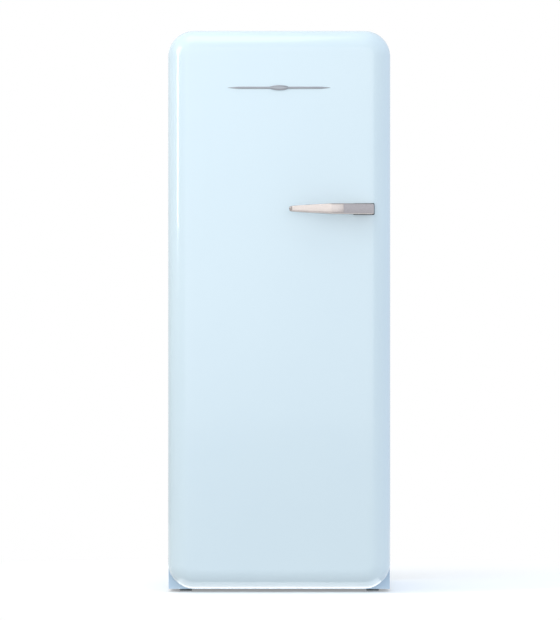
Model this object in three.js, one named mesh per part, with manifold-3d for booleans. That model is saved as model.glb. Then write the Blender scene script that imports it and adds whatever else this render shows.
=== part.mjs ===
// Free-standing single-door refrigerator with rounded corners and an ice compartment at the top of its cavity.
// Millimetres, +Z up. The origin is on the floor, under the middle of the whole object.
// The front faces -Y, the door's hinges are on the left (-X) and its handle is on the right.
import * as THREE from "three";
import { mergeVertices } from "three/addons/utils/BufferGeometryUtils.js";
import Module from "manifold-3d";

const wasm = await Module();
wasm.setup();

// ---- Driving dimensions -------------------------------------------------------------------------------

const seat = 0.3; // gap left between two pieces that touch
const sheet = 1.2; // painted steel of the cabinet and the door

// Cabinet: its own frame starts at the middle of its front face, at its lowest edge.
const cabinetWidth = 601;
const cabinetHeight = 1513;
const cabinetDepth = 590;
const cornerRadius = 70; // front view, shared by the cabinet's top and all of the door
const footHeight = 8;
const sideWall = 50.5; // insulated walls, from the outer face to the cavity
const topWall = 65;
const floorWall = 88;
const backWall = 62;
const linerThickness = 3;
const cavityCornerRadius = 24;

// Machine room under the back of the cavity.
const machineRoomMargin = 19; // machine room, past the compressor's foot plate in front and behind
const machineRoomHeight = 273;
const stepInsulation = 50;

// Door: its own frame starts at the middle of its back face, at its lowest edge.
const doorDepth = 100;
const doorGap = 10; // between the door's back and the cabinet's front
const doorDrop = 4; // the cabinet reaches this far below the door
const doorEdgeRadius = 55;
const doorLinerThickness = 2.5;
const recessDepth = 26; // the door liner's pan, sunk into the door
const dykeHeight = 46; // the frame on the door liner that enters the cavity
const dykeWidth = 13;
const dykeClearance = 14; // from the dyke to the cavity wall
const binReach = 101; // door bins, from the door's back face into the cavity
const frontClearance = 23; // from the door bins to what stands behind them

// Hinges, concealed in slots at the door's back left edge.
const hingeInset = 13; // axis, from the door's side
const hingeSetback = 14; // axis, from the door's back face
const hingeHeight = 100; // arm, from the door's nearer end
const hingeArmThickness = 4;
const hingeSlotClearance = 3;
const hingePinRadius = 4;
const hingeBushWall = 4;
const hingeBushLength = 28;

// Gasket.
const gasketMargin = 8; // outside the cavity's opening
const gasketWidth = 16;

// Handle.
const handleDrop = 483; // middle of the handle, below the door's top
const handleInset = 45; // handle's right end, from the door's side
const handleHeight = 29;
const handleTipHeight = 14;
const handleStandoff = 58;
const handleArmLength = 81; // right end to the first bend
const handleBridgeLength = 35; // first bend to second bend
const handleGripLength = 113; // second bend to the free tip

// Trim badge.
const badgeLength = 283;
const badgeHeight = 14;
const badgeDrop = 156; // below the door's top

// Cavity fittings.
const ribPitch = 57;
const ribHeight = 8;
const ribDepth = 6;
const glassThickness = 4;
const shelfTrimHeight = 14;
const shelfEndGap = 3; // from a shelf to the side walls
const ductDepth = 32;
const ductWidth = 190;
const freezerHeight = 230;
const freezerFloor = 22;
const flapThickness = 32;
const flapGap = 2;
const flapAxisInset = 14; // also the radius of its upright edges
const drawerWall = 2.5;
const drawerHeight = 218;
const binHeight = 92;
const bottleBinHeight = 122;
const binWall = 2.5;
const binFloorGap = 12; // lowest bin, above the dyke's lower rail

// Fan and dial.
const fanRadius = 40;
const fanBlades = 5;
const dialRadius = 18;

// Condenser on the back.
const condenserStandoff = 30;
const condenserTube = 5;
const strapThickness = 2;
const condenserRuns = 11;
const condenserSideMargin = 62;

// Compressor.
const compressorRadius = 72;
const compressorStretch = 1.3; // along X
const compressorHeight = 168;
const compressorFootInset = 8; // middles of the mounts, inside the casing's radius
const footPlateMargin = 14; // foot plate, past the middles of its mounts
const grommetHeight = 12;
const grommetRadius = 11;

// Feet and rollers.
const footRadius = 18;
const footStemRadius = 5;
const footInset = 46;
const footPadHeight = 7;
const rollerRadius = 9.5;
const rollerWidth = 18;
const rollerInset = 30;
const axleRadius = 3;
const earThickness = 2.5;

// ---- Derived planes -----------------------------------------------------------------------------------

const halfWidth = cabinetWidth / 2;
const overallDepth = handleStandoff + doorDepth + doorGap + cabinetDepth + condenserStandoff;
const cabinetFrontY = overallDepth / 2 - condenserStandoff - cabinetDepth;
const doorBackY = cabinetFrontY - doorGap;
const doorBottomZ = footHeight + doorDrop;
const doorHeight = cabinetHeight - doorDrop;

const cavityHalf = halfWidth - sideWall;
const cavityBottom = floorWall;
const cavityTop = cabinetHeight - topWall;
const cavityBack = cabinetDepth - backWall;
const compressorFootY = compressorRadius - compressorFootInset;
const machineRoomDepth = 2 * (compressorFootY + footPlateMargin + machineRoomMargin);
const stepFront = cabinetDepth - machineRoomDepth - stepInsulation;
const stepTop = machineRoomHeight + stepInsulation;
const machineRoomFront = cabinetDepth - machineRoomDepth;
const interiorFront = binReach - doorGap + frontClearance;
const ductFront = cavityBack - ductDepth;
const shelfBack = ductFront - 8;

const trayTop = 9; // compressor tray's upper face
const trayLip = 2; // its upright edges
const compressorX = -20;
const compressorY = cabinetDepth - machineRoomDepth / 2 + 2;
const freezerTop = cavityTop - seat;
const freezerBottom = freezerTop - freezerHeight;
const freezerFront = interiorFront + flapThickness + flapGap;
const coverZ = stepTop + seat;

const hingeX = -halfWidth + hingeInset;
const ribBase = coverZ + glassThickness + 3 * ribPitch;
const ribCount = Math.floor((freezerBottom - 120 - ribBase) / ribPitch) + 1;
const ribHeights = Array.from({ length: ribCount }, (_, i) => ribBase + i * ribPitch);

// ---- Helpers ------------------------------------------------------------------------------------------

// A closed three.js geometry as a solid that can be cut and joined.
function solidOf(geometry) {
  const plain = geometry.index ? geometry.toNonIndexed() : geometry.clone();
  plain.deleteAttribute("normal");
  plain.deleteAttribute("uv");
  const merged = mergeVertices(plain, 1e-4);
  const corners = merged.index.array;
  const kept = [];
  for (let i = 0; i < corners.length; i += 3) {
    const [a, b, c] = corners.slice(i, i + 3);
    if (a !== b && b !== c && c !== a) kept.push(a, b, c);
  }
  return new wasm.Manifold(new wasm.Mesh({
    numProp: 3,
    vertProperties: merged.attributes.position.array,
    triVerts: new Uint32Array(kept),
  }));
}

function geometryOf(solid) {
  const mesh = solid.getMesh();
  const geometry = new THREE.BufferGeometry();
  geometry.setAttribute("position", new THREE.BufferAttribute(mesh.vertProperties, 3));
  geometry.setIndex(new THREE.BufferAttribute(mesh.triVerts, 1));
  geometry.computeVertexNormals();
  return geometry;
}

// Joins any number of solids.
function join(...solids) {
  return solids.reduce((whole, next) => whole.add(next));
}

// Cuts every further solid from the first.
function cut(solid, ...tools) {
  return tools.reduce((rest, tool) => rest.subtract(tool), solid);
}

function block(x0, x1, y0, y1, z0, z1) {
  const geometry = new THREE.BoxGeometry(x1 - x0, y1 - y0, z1 - z0);
  return solidOf(geometry.translate((x0 + x1) / 2, (y0 + y1) / 2, (z0 + z1) / 2));
}

const acrossX = new THREE.Matrix4().makeBasis(
  new THREE.Vector3(0, 1, 0), new THREE.Vector3(0, 0, 1), new THREE.Vector3(1, 0, 0));

// Extrudes an outline drawn in (Y, Z) along X.
function prismX(shape, x0, x1) {
  const geometry = new THREE.ExtrudeGeometry(shape, { depth: x1 - x0, bevelEnabled: false });
  return solidOf(geometry.applyMatrix4(acrossX).translate(x0, 0, 0));
}

// Extrudes an outline drawn in (X, Z) along Y.
function prismY(shape, y0, y1, curveSegments = 6) {
  const geometry = new THREE.ExtrudeGeometry(shape, { depth: y1 - y0, bevelEnabled: false, curveSegments });
  return solidOf(geometry.rotateX(Math.PI / 2).translate(0, y1, 0));
}

// Extrudes an outline drawn in (X, Y) along Z.
function prismZ(shape, z0, z1, curveSegments = 5) {
  const geometry = new THREE.ExtrudeGeometry(shape, { depth: z1 - z0, bevelEnabled: false, curveSegments });
  return solidOf(geometry.translate(0, 0, z0));
}

// Cylinders along each axis, between two planes.
function rodX(radius, x0, x1, y, z, sides = 16) {
  const geometry = new THREE.CylinderGeometry(radius, radius, x1 - x0, sides);
  return solidOf(geometry.rotateZ(Math.PI / 2).translate((x0 + x1) / 2, y, z));
}

function rodY(radius, y0, y1, x, z, sides = 16) {
  const geometry = new THREE.CylinderGeometry(radius, radius, y1 - y0, sides);
  return solidOf(geometry.translate(x, (y0 + y1) / 2, z));
}

function rodZ(radius, z0, z1, x, y, sides = 16) {
  const geometry = new THREE.CylinderGeometry(radius, radius, z1 - z0, sides);
  return solidOf(geometry.rotateX(Math.PI / 2).translate(x, y, (z0 + z1) / 2));
}

// A turned piece: its profile is [radius, z] pairs that start and end on the axis.
function turned(profile, sides = 18) {
  const points = profile.map(([radius, z]) => new THREE.Vector2(radius, z));
  return solidOf(new THREE.LatheGeometry(points, sides).rotateX(Math.PI / 2));
}

// A round bar along a smooth curve through the points.
function bentRod(points, radius, steps, sides = 8) {
  const section = new THREE.Shape();
  section.absarc(0, 0, radius, 0, 2 * Math.PI);
  const curve = new THREE.CatmullRomCurve3(points.map((p) => new THREE.Vector3(...p)));
  return solidOf(new THREE.ExtrudeGeometry(section, {
    steps, extrudePath: curve, bevelEnabled: false, curveSegments: sides,
  }));
}

function polygon(points) {
  return new THREE.Shape(points.map(([x, y]) => new THREE.Vector2(x, y)));
}

// A rectangle from (x0, y0) to (x1, y1) with its own radius at its lower and its upper corners.
function roundedRectangle(x0, x1, y0, y1, lowRadius, highRadius = lowRadius) {
  const shape = new THREE.Shape();
  shape.moveTo(x0 + lowRadius, y0);
  shape.lineTo(x1 - lowRadius, y0);
  if (lowRadius) shape.absarc(x1 - lowRadius, y0 + lowRadius, lowRadius, -Math.PI / 2, 0);
  shape.lineTo(x1, y1 - highRadius);
  if (highRadius) shape.absarc(x1 - highRadius, y1 - highRadius, highRadius, 0, Math.PI / 2);
  shape.lineTo(x0 + highRadius, y1);
  if (highRadius) shape.absarc(x0 + highRadius, y1 - highRadius, highRadius, Math.PI / 2, Math.PI);
  shape.lineTo(x0, y0 + lowRadius);
  if (lowRadius) shape.absarc(x0 + lowRadius, y0 + lowRadius, lowRadius, Math.PI, 1.5 * Math.PI);
  return shape;
}

// An open-topped box with walls of one thickness.
function tub(x0, x1, y0, y1, z0, z1, wall, radius = 10) {
  const outside = prismZ(roundedRectangle(x0, x1, y0, y1, radius), z0, z1, 3);
  const inside = roundedRectangle(x0 + wall, x1 - wall, y0 + wall, y1 - wall, radius - wall);
  return cut(outside, prismZ(inside, z0 + wall, z1 + 1, 3));
}

const finishes = {
  paint: { color: 0xcfe3ef, roughness: 0.18, metalness: 0 },
  whitePlastic: { color: 0xf2f3f2, roughness: 0.4, metalness: 0 },
  clearPlastic: { color: 0xe4eef2, roughness: 0.12, metalness: 0 },
  glass: { color: 0xd6ece8, roughness: 0.05, metalness: 0 },
  chrome: { color: 0xd8d4d2, roughness: 0.15, metalness: 1 },
  aluminium: { color: 0xc3c6c9, roughness: 0.35, metalness: 1 },
  zinc: { color: 0xa9adb0, roughness: 0.4, metalness: 0.9 },
  black: { color: 0x1b1c1e, roughness: 0.5, metalness: 0 },
  rubber: { color: 0x2a2b2c, roughness: 0.85, metalness: 0 },
  gasket: { color: 0xb9bfc3, roughness: 0.7, metalness: 0 },
  foam: { color: 0xe9dcae, roughness: 0.95, metalness: 0 },
  copper: { color: 0xb87350, roughness: 0.35, metalness: 1 },
};

// A named mesh of one finish, placed in its group.
function piece(name, finish, solid, x = 0, y = 0, z = 0) {
  const mesh = new THREE.Mesh(geometryOf(solid), new THREE.MeshStandardMaterial(finishes[finish]));
  mesh.name = name;
  mesh.position.set(x, y, z);
  return mesh;
}

function groupAt(x, y, z, ...meshes) {
  const group = new THREE.Group();
  group.position.set(x, y, z);
  group.add(...meshes);
  return group;
}

// ---- Cabinet ------------------------------------------------------------------------------------------

function cabinetOutline(inset) {
  const half = halfWidth - inset;
  return roundedRectangle(-half, half, 0, cabinetHeight - inset, 0, cornerRadius - inset);
}

// The cavity grown by a wall: a rounded box with a step over the machine room.
function cavityForm(grow, front) {
  const half = cavityHalf + grow;
  const outline = roundedRectangle(-half, half, cavityBottom - grow, cavityTop + grow, cavityCornerRadius + grow);
  const step = block(-cabinetWidth, cabinetWidth, stepFront + grow, cabinetDepth, -1, stepTop - grow);
  return cut(prismY(outline, front, cavityBack + grow, 4), step);
}

// Top and sides in one bent sheet, with the front flange that the gasket closes on.
function cabinetShell() {
  const wrap = cut(
    prismY(cabinetOutline(0), 0, cabinetDepth),
    prismY(cabinetOutline(sheet), -1, cabinetDepth + 1),
    block(-halfWidth + sheet, halfWidth - sheet, -1, cabinetDepth + 1, -1, sheet),
  );
  const flange = cut(prismY(cabinetOutline(0), 0, sheet), cavityForm(linerThickness + seat, -1));
  return join(wrap, flange);
}

function backSheetForm(grow) {
  const back = cabinetDepth;
  const top = cabinetHeight;
  return prismX(polygon([
    [back, top], [back - sheet - grow, top],
    [back - sheet - grow, machineRoomHeight + sheet + grow],
    [machineRoomFront - sheet - grow, machineRoomHeight + sheet + grow],
    [machineRoomFront - sheet - grow, sheet + seat],
    [machineRoomFront, sheet + seat],
    [machineRoomFront, machineRoomHeight],
    [back, machineRoomHeight],
  ]), -halfWidth + sheet + seat, halfWidth - sheet - seat);
}

// The sheet that closes the back and steps in over the machine room.
function backPanel() {
  const inside = prismY(cabinetOutline(sheet + seat), -1, cabinetDepth + 1);
  return cut(backSheetForm(0), drainForm(seat)).intersect(inside);
}

function basePlate() {
  const half = halfWidth - sheet - seat;
  const front = sheet + seat;
  const back = machineRoomFront - sheet - seat;
  const plate = block(-half, half, front, back, 0, sheet);
  const lip = block(-half, half, front, front + sheet, 0, 20);
  const holes = [-1, 1].map((side) => rodZ(footStemRadius + seat, -1, 2, side * footX, footY));
  return cut(join(plate, lip), ...holes);
}

function cabinetFoam() {
  const gap = sheet + seat;
  const outside = prismY(cabinetOutline(gap), gap, cabinetDepth - gap);
  const room = block(-cabinetWidth, cabinetWidth, machineRoomFront - gap, cabinetDepth,
    -1, machineRoomHeight + gap);
  const under = block(-cabinetWidth, cabinetWidth, -1, cabinetDepth, -1, gap);
  const lip = block(-cabinetWidth, cabinetWidth, -1, gap + sheet + seat, -1, 20 + seat);
  const stems = [-1, 1].map((side) => rodZ(footStemRadius + 4, -1, footStemTop + 8, side * footX, footY));
  return cut(outside, room, under, lip, cavityForm(linerThickness + seat, -1), drainForm(seat), ...stems);
}

function innerLiner() {
  const walls = cut(cavityForm(linerThickness, 0), cavityForm(0, -1), drainForm(seat));
  const ribs = [];
  for (const side of [-1, 1]) {
    for (const z of [stepTop, ...ribHeights]) {
      const back = z === stepTop ? stepFront + 1 : shelfBack;
      const x0 = Math.min(side * (cavityHalf - ribDepth), side * (cavityHalf + 1));
      ribs.push(block(x0, x0 + ribDepth + 1, interiorFront + 8, back, z - ribHeight, z));
    }
  }
  return join(walls, ...ribs);
}

// Defrost water runs down this funnel from the back of the cavity to the tray on the compressor.
const drainY = cavityBack - 20;
const drainX = 130;
const drainRadius = 7;
const drainBottom = machineRoomHeight - 22;

function drainForm(grow) {
  return rodZ(drainRadius + grow, drainBottom, stepTop + 1, drainX, drainY, 12);
}

function drainTube() {
  const tube = rodZ(drainRadius, drainBottom, stepTop, drainX, drainY, 12);
  return cut(tube, rodZ(drainRadius - 2, drainBottom - 1, stepTop + 1, drainX, drainY, 12));
}

// ---- Feet and rollers ---------------------------------------------------------------------------------

const footX = halfWidth - footInset;
const footY = footInset - 8;
const footStemTop = 32;

// A levelling foot, in its own frame on the floor: a broad pad under a screw.
function levellingFoot() {
  const stem = footHeight + footStemTop;
  return turned([
    [0, 0], [footRadius - 2, 0], [footRadius, 3], [footRadius, footPadHeight - 3],
    [footRadius - 3, footPadHeight], [footStemRadius, footPadHeight], [footStemRadius, stem - 2],
    [footStemRadius - 2, stem], [0, stem],
  ]);
}

const rollerX = halfWidth - rollerInset;
const rollerY = cabinetDepth - rollerInset;
const rollerZ = rollerRadius - footHeight;

// A roller in its own frame: axle along X through the origin.
function roller() {
  const half = rollerWidth / 2;
  return cut(rodX(rollerRadius, -half, half, 0, 0, 24), rodX(axleRadius + seat, -half - 1, half + 1, 0, 0, 12));
}

function rollerAxle() {
  const half = rollerWidth / 2 + earThickness + 3 + seat;
  const head = rodX(axleRadius + 2, half - 2, half, 0, 0, 12);
  return join(rodX(axleRadius, -half, half, 0, 0, 12), head);
}

// The tray that carries the compressor, with windows and ears for the rollers.
function compressorTray() {
  const half = halfWidth - sheet - seat;
  const front = machineRoomFront + seat;
  const back = cabinetDepth - sheet;
  const floor = block(-half, half, front, back, trayTop - 2, trayTop);
  const lips = [
    block(-half, half, front, front + trayLip, trayTop - 2, trayTop + 16),
    block(-half, half, back - trayLip, back, trayTop - 2, trayTop + 16),
  ];
  const windows = [];
  const ears = [];
  const bores = [];
  for (const side of [-1, 1]) {
    const x = side * rollerX;
    const half = rollerWidth / 2 + 1;
    windows.push(block(x - half, x + half, rollerY - rollerRadius - 3, rollerY + rollerRadius + 3, 0, 20));
    for (const edge of [-half - earThickness, half]) {
      ears.push(block(x + edge, x + edge + earThickness, rollerY - 12, rollerY + 12, rollerZ - 7, trayTop));
    }
    bores.push(rodX(axleRadius + seat, x - 20, x + 20, rollerY, rollerZ, 12));
  }
  return cut(join(cut(join(floor, ...lips), ...windows), ...ears), ...bores);
}

// ---- Machine room -------------------------------------------------------------------------------------

const casingBase = trayTop + grommetHeight + 2 * seat;

// The hermetic casing's outline, drawn in by inset.
function casingForm(inset) {
  const height = compressorHeight;
  const radius = compressorRadius;
  const form = turned([
    [0, inset], [radius * 0.55, inset], [radius * 0.86, 14 + inset / 2], [radius - inset, height * 0.34],
    [radius - inset, height * 0.62], [radius * 0.9 - inset, height * 0.8],
    [radius * 0.62, height * 0.94 - inset], [0, height - inset],
  ], 20);
  return form.scale([compressorStretch, 1, 1]);
}

const compressorFootX = compressorRadius * compressorStretch - 6;
const relayX = compressorRadius * compressorStretch;
const seamReach = 4;
const casingWall = 3;

// Two pressed bowls welded at a seam, on a foot plate.
function compressorCasing() {
  const seam = turned([
    [0, 78], [compressorRadius + seamReach, 78], [compressorRadius + seamReach, 82], [0, 82],
  ], 20).scale([compressorStretch, 1, 1]);
  const plate = block(-compressorFootX - 16, compressorFootX + 16, -compressorFootY - footPlateMargin,
    compressorFootY + footPlateMargin, 0, 4);
  const terminal = rodX(12, relayX - 30, relayX + 20, 0, 60, 12);
  const bowls = cut(join(casingForm(0), seam), casingForm(casingWall));
  return cut(join(bowls, cut(plate, casingForm(1))), terminal);
}

// Motor and piston pump, standing on four springs inside the casing.
function compressorPump() {
  const motor = rodZ(50, 34, 92, -8, 0, 20);
  const head = block(-40, 52, -22, 22, 92, 122);
  const springs = [-20, 20].flatMap((x) => [-20, 20].map((y) => rodZ(6, casingWall + seat, 35, x, y, 10)));
  return join(motor, head, ...springs);
}

function compressorRelay() {
  const x0 = (compressorRadius + seamReach) * compressorStretch + seat;
  return block(x0, x0 + 36, -30, 30, 38, 92);
}

function grommet() {
  return turned([
    [0, 0], [grommetRadius, 0], [grommetRadius, 4], [grommetRadius - 3, 6],
    [grommetRadius, 8], [grommetRadius, grommetHeight], [0, grommetHeight],
  ], 12);
}

const trayZ = casingBase + compressorHeight + seat;

// Defrost water dries off in this tray, over the warm compressor.
function evaporationTray() {
  const half = compressorRadius * compressorStretch + 70;
  return tub(compressorX - half + 50, compressorX + half, compressorY - 66, compressorY + 66,
    trayZ, trayZ + 36, 2.5);
}

// Where a pipe meets the casing, at a distance along Y from its middle.
function pipeStart(offset) {
  const near = Math.max(0, Math.abs(offset) - 8) / compressorRadius;
  const reach = compressorRadius * compressorStretch * Math.sqrt(1 - near ** 2);
  return compressorX - reach - 3 * seat;
}

// The hot gas pipe, from the compressor out to the foot of the condenser.
function dischargePipe() {
  const x = pipeStart(0);
  const z = casingBase + 70;
  return bentRod([
    [x, compressorY, z], [x - 30, compressorY + 4, z], [x - 58, compressorY + 30, z + 40],
    [x - 64, cabinetDepth - 14, z + 100], [x - 64, cabinetDepth + 10, z + 150],
    [condenserLeft + 14, condenserY, condenserBottom - 44], [condenserLeft + 3, condenserY, condenserBottom - 22],
    [condenserLeft + 3, condenserY, condenserBottom - condenserTube / 2 - 2 * seat],
  ], 3, 22, 4);
}

// The cold return pipe, from the roof of the machine room to the compressor.
function suctionPipe() {
  const offset = -26;
  const x = pipeStart(offset);
  const z = casingBase + 100;
  const roof = machineRoomHeight - seat;
  return bentRod([
    [x, compressorY + offset, z], [x - 26, compressorY - 28, z + 2], [x - 44, compressorY - 40, z + 34],
    [x - 46, compressorY - 46, z + 70], [x - 46, compressorY - 46, roof],
  ], 4, 14, 4);
}

// ---- Condenser ----------------------------------------------------------------------------------------

const condenserLeft = -halfWidth + condenserSideMargin;
const condenserRight = halfWidth - condenserSideMargin;
const condenserBottom = machineRoomHeight + 90;
const condenserTop = cabinetHeight - 90;
const condenserY = cabinetDepth + condenserStandoff - strapThickness / 2 - condenserTube / 2;

// A serpentine tube in one plane, held by upright straps that stand off the back panel.
function condenserGrid() {
  const pitch = (condenserTop - condenserBottom) / (condenserRuns - 1);
  const bend = pitch / 2;
  const left = condenserLeft + bend;
  const right = condenserRight - bend;
  const half = condenserTube / 2;
  const y0 = condenserY - half;
  const runs = [];
  for (let i = 0; i < condenserRuns; i += 1) {
    const z = condenserBottom + i * pitch;
    const start = i === 0 ? condenserLeft : left;
    runs.push(block(start, right, y0, y0 + condenserTube, z - half, z + half));
    if (i === condenserRuns - 1) continue;
    const turn = i % 2 === 0 ? 1 : -1;
    const shape = new THREE.Shape();
    const first = turn > 0 ? -Math.PI / 2 : Math.PI / 2;
    const centreX = turn > 0 ? right : left;
    shape.absarc(centreX, z + bend, bend + half, first, first + Math.PI);
    shape.absarc(centreX, z + bend, bend - half, first + Math.PI, first, true);
    runs.push(prismY(shape, y0, y0 + condenserTube, 4));
  }
  const straps = [-0.8, 0, 0.8].map((share) => {
    const x = share * right;
    return block(x - 4, x + 4, y0 + condenserTube - strapThickness / 2,
      y0 + condenserTube + strapThickness / 2, condenserBottom - 14, condenserTop + 14);
  });
  const legs = [];
  for (const share of [-0.8, 0.8]) {
    for (const z of [condenserBottom + pitch / 2, condenserTop - pitch / 2]) {
      const x = share * right;
      legs.push(block(x - 4, x + 4, cabinetDepth + seat, y0 + condenserTube, z - 8, z + 8));
    }
  }
  return join(...runs, ...straps, ...legs);
}

// The ribbed bush that the mains cable would pass through.
function cordGland() {
  const body = join(
    rodY(13, cabinetDepth + seat, cabinetDepth + 4, 0, 0),
    rodY(8, cabinetDepth + 3, cabinetDepth + 20, 0, 0),
    rodY(10, cabinetDepth + 9, cabinetDepth + 12, 0, 0),
  );
  return cut(body, rodY(4, cabinetDepth - 1, cabinetDepth + 21, 0, 0, 12));
}

// ---- Ice compartment ----------------------------------------------------------------------------------

const freezerHalf = cavityHalf - seat;
const flapHalf = freezerHalf - 11;
const flapBottom = freezerBottom + 8;
const flapTop = freezerTop - 8;
const flapAxisX = -flapHalf + flapAxisInset;
const flapAxisY = interiorFront + flapThickness / 2;
const flapPinRadius = 3;

// Plastic surround and insulated floor, with two ears that hold the flap's pins.
function freezerFrame() {
  const front = cut(
    block(-freezerHalf, freezerHalf, freezerFront, freezerFront + 38, freezerBottom, freezerTop),
    block(-freezerHalf + 26, freezerHalf - 26, freezerFront - 1, freezerFront + 40,
      freezerBottom + freezerFloor + 2, freezerTop - 22),
  );
  const floor = block(-freezerHalf, freezerHalf, freezerFront, ductFront - seat, freezerBottom,
    freezerBottom + freezerFloor);
  const ears = [freezerBottom, freezerTop - 4].map((z) => cut(
    block(flapAxisX - 9, flapAxisX + 9, flapAxisY - 9, freezerFront + 1, z, z + 4),
    rodZ(flapPinRadius + seat, z - 1, z + 5, flapAxisX, flapAxisY, 12),
  ));
  return join(front, floor, ...ears).intersect(cavityForm(-seat, -1));
}

// The aluminium box that is both the freezing chamber and the evaporator.
function freezerEvaporator() {
  const half = freezerHalf - 14;
  const bottom = freezerBottom + freezerFloor + seat;
  const top = freezerTop - 10;
  const front = freezerFront + 38 + seat;
  const back = ductFront - seat;
  return cut(
    block(-half, half, front, back, bottom, top),
    block(-half + 2, half - 2, front - 1, back - 2, bottom + 2, top - 2),
  );
}

// The flap in its own frame: hinge pins on the Z axis, at the cabinet's height.
function freezerFlap() {
  const back = flapThickness / 2;
  const outline = roundedRectangle(-flapAxisInset, 2 * flapHalf - flapAxisInset, -back, back, flapAxisInset);
  const panel = prismZ(outline, flapBottom, flapTop, 3);
  const pins = rodZ(flapPinRadius, freezerBottom + 1, freezerTop - 1, 0, 0, 12);
  const middle = (flapBottom + flapTop) / 2;
  const grip = block(2 * flapHalf - 58, 2 * flapHalf - 34, -back - 1, -back + 14, middle - 46, middle + 46);
  return cut(join(panel, pins), grip);
}

// ---- Shelves, drawer, duct ----------------------------------------------------------------------------

const shelfHalf = cavityHalf - shelfEndGap;
const ribOf = (share) => Math.round(share * (ribCount - 1));
const ribLevel = (index) => ribHeights[index] + seat;
const rackZ = ribLevel(0);
const lowerShelfZ = ribLevel(ribOf(0.5));
const upperShelfZ = ribLevel(ribOf(0.9));

function shelfGlass(z) {
  return block(-shelfHalf, shelfHalf, interiorFront + 6, shelfBack, z, z + glassThickness);
}

// A moulded edge that clips on the front of a glass shelf.
function shelfTrim(z) {
  const front = interiorFront;
  const outline = polygon([
    [front, z - 4], [front + 5.5, z - 4], [front + 5.5, z - seat + glassThickness + 2 * seat],
    [front + 16, z + glassThickness + seat], [front + 16, z + glassThickness + 2.5],
    [front + 2, z - 4 + shelfTrimHeight], [front, z - 6 + shelfTrimHeight],
  ]);
  return prismX(outline, -shelfHalf, shelfHalf);
}

// Chromed wire shelf for bottles: wave-shaped wires across, straight wires along.
function bottleRack() {
  const wire = 4;
  const amplitude = 16;
  const half = shelfHalf - 1;
  const front = interiorFront + 8;
  const back = shelfBack - 4;
  const bottles = Math.round((2 * half) / 95);
  const waveHeight = (x) => rackZ + amplitude + wire - amplitude * Math.cos((2 * Math.PI * bottles * x) / (2 * half));
  const count = bottles * 6;
  const wave = (lift) => {
    const points = [];
    for (let i = 0; i <= count; i += 1) {
      const x = -half + (2 * half * i) / count;
      points.push([x, waveHeight(x + half) + lift]);
    }
    return points;
  };
  const ribbon = polygon([...wave(0), ...wave(wire).reverse()]);
  const waves = [front + 34, back - 34].map((y) => prismY(ribbon, y, y + wire));
  const frame = [
    block(-half, half, front, front + wire, rackZ, rackZ + wire),
    block(-half, half, back - wire, back, rackZ, rackZ + wire),
  ];
  for (let i = 0; i <= bottles; i += 1) {
    const x = Math.min(-half + (2 * half * i) / bottles, half - wire);
    frame.push(block(x, x + wire, front, back, rackZ, rackZ + wire + 1));
  }
  return join(...waves, ...frame);
}

function crisperCover() {
  return block(-shelfHalf, shelfHalf, interiorFront + 2, shelfBack, coverZ, coverZ + glassThickness);
}

const drawerHalf = cavityHalf - 11;
const drawerFloorGap = 6; // clears the rounded edges of the cavity floor

// The drawer in its own frame, whose origin is the middle of its front face at the cavity floor.
// Two runners under it slide on the liner.
function crisperDrawer() {
  const back = stepFront - 6 - interiorFront;
  const body = tub(-drawerHalf, drawerHalf, 0, back, drawerFloorGap, drawerHeight, drawerWall, 12);
  const runners = [-1, 1].map((side) => block(
    side * 180 - 5, side * 180 + 5, 14, back - 14, seat, drawerFloorGap + 1));
  const lip = block(-drawerHalf + 12, drawerHalf - 12, -9, 1, drawerHeight - 26, drawerHeight - 22);
  const drop = block(-drawerHalf + 12, drawerHalf - 12, -9, -6, drawerHeight - 44, drawerHeight - 23);
  return join(body, lip, drop, ...runners);
}

const fanZ = freezerBottom - 78;
const rotorFront = ductFront + 6;
const motorFront = ductFront + 22;

// Air duct on the back wall, open behind, with a round grille in front of the fan.
function airDuctCover() {
  const half = ductWidth / 2;
  const bottom = ribBase - ribHeight;
  const top = freezerBottom - seat;
  const back = cavityBack - seat;
  const panel = cut(
    block(-half, half, ductFront, back, bottom, top),
    block(-half + 2.5, half - 2.5, ductFront + 2.5, back + 1, bottom + 2.5, top - 2.5),
    rodY(fanRadius + 2, ductFront - 1, ductFront + 4, 0, fanZ, 24),
  );
  const slots = [-1, 1].flatMap((side) => [0.25, 0.55].map((share) => {
    const z = bottom + share * (fanZ - bottom);
    return block(side * half * 0.5 - 26, side * half * 0.5 + 26, ductFront - 1, ductFront + 4, z, z + 12);
  }));
  const bars = [
    block(-fanRadius - 3, fanRadius + 3, ductFront, ductFront + 2.5, fanZ - 3, fanZ + 3),
    block(-3, 3, ductFront, ductFront + 2.5, fanZ - fanRadius - 3, fanZ + fanRadius + 3),
    rodY(13, ductFront, ductFront + 2.5, 0, fanZ, 16),
  ];
  return join(cut(panel, ...slots), ...bars);
}

// The fan in its own frame, turning about Y.
function fanRotor() {
  const hub = rodY(11, 0, motorFront - rotorFront - seat, 0, 0, 16);
  const blades = [];
  for (let i = 0; i < fanBlades; i += 1) {
    const blade = new THREE.BoxGeometry(fanRadius - 10, 1.6, 20);
    blade.rotateX(0.5).translate(fanRadius / 2 + 4, 6, 0).rotateY((2 * Math.PI * i) / fanBlades);
    blades.push(solidOf(blade));
  }
  return join(hub, ...blades);
}

function fanMotor() {
  return rodY(16, motorFront, cavityBack - seat, 0, fanZ, 16);
}

const controlTop = freezerBottom - 46;
const controlHeight = 72;
const controlFront = interiorFront + 30;
const controlLength = 150;
const controlDepth = 28;
const dialY = controlFront + 34;
const dialZ = controlTop - controlHeight / 2;

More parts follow.
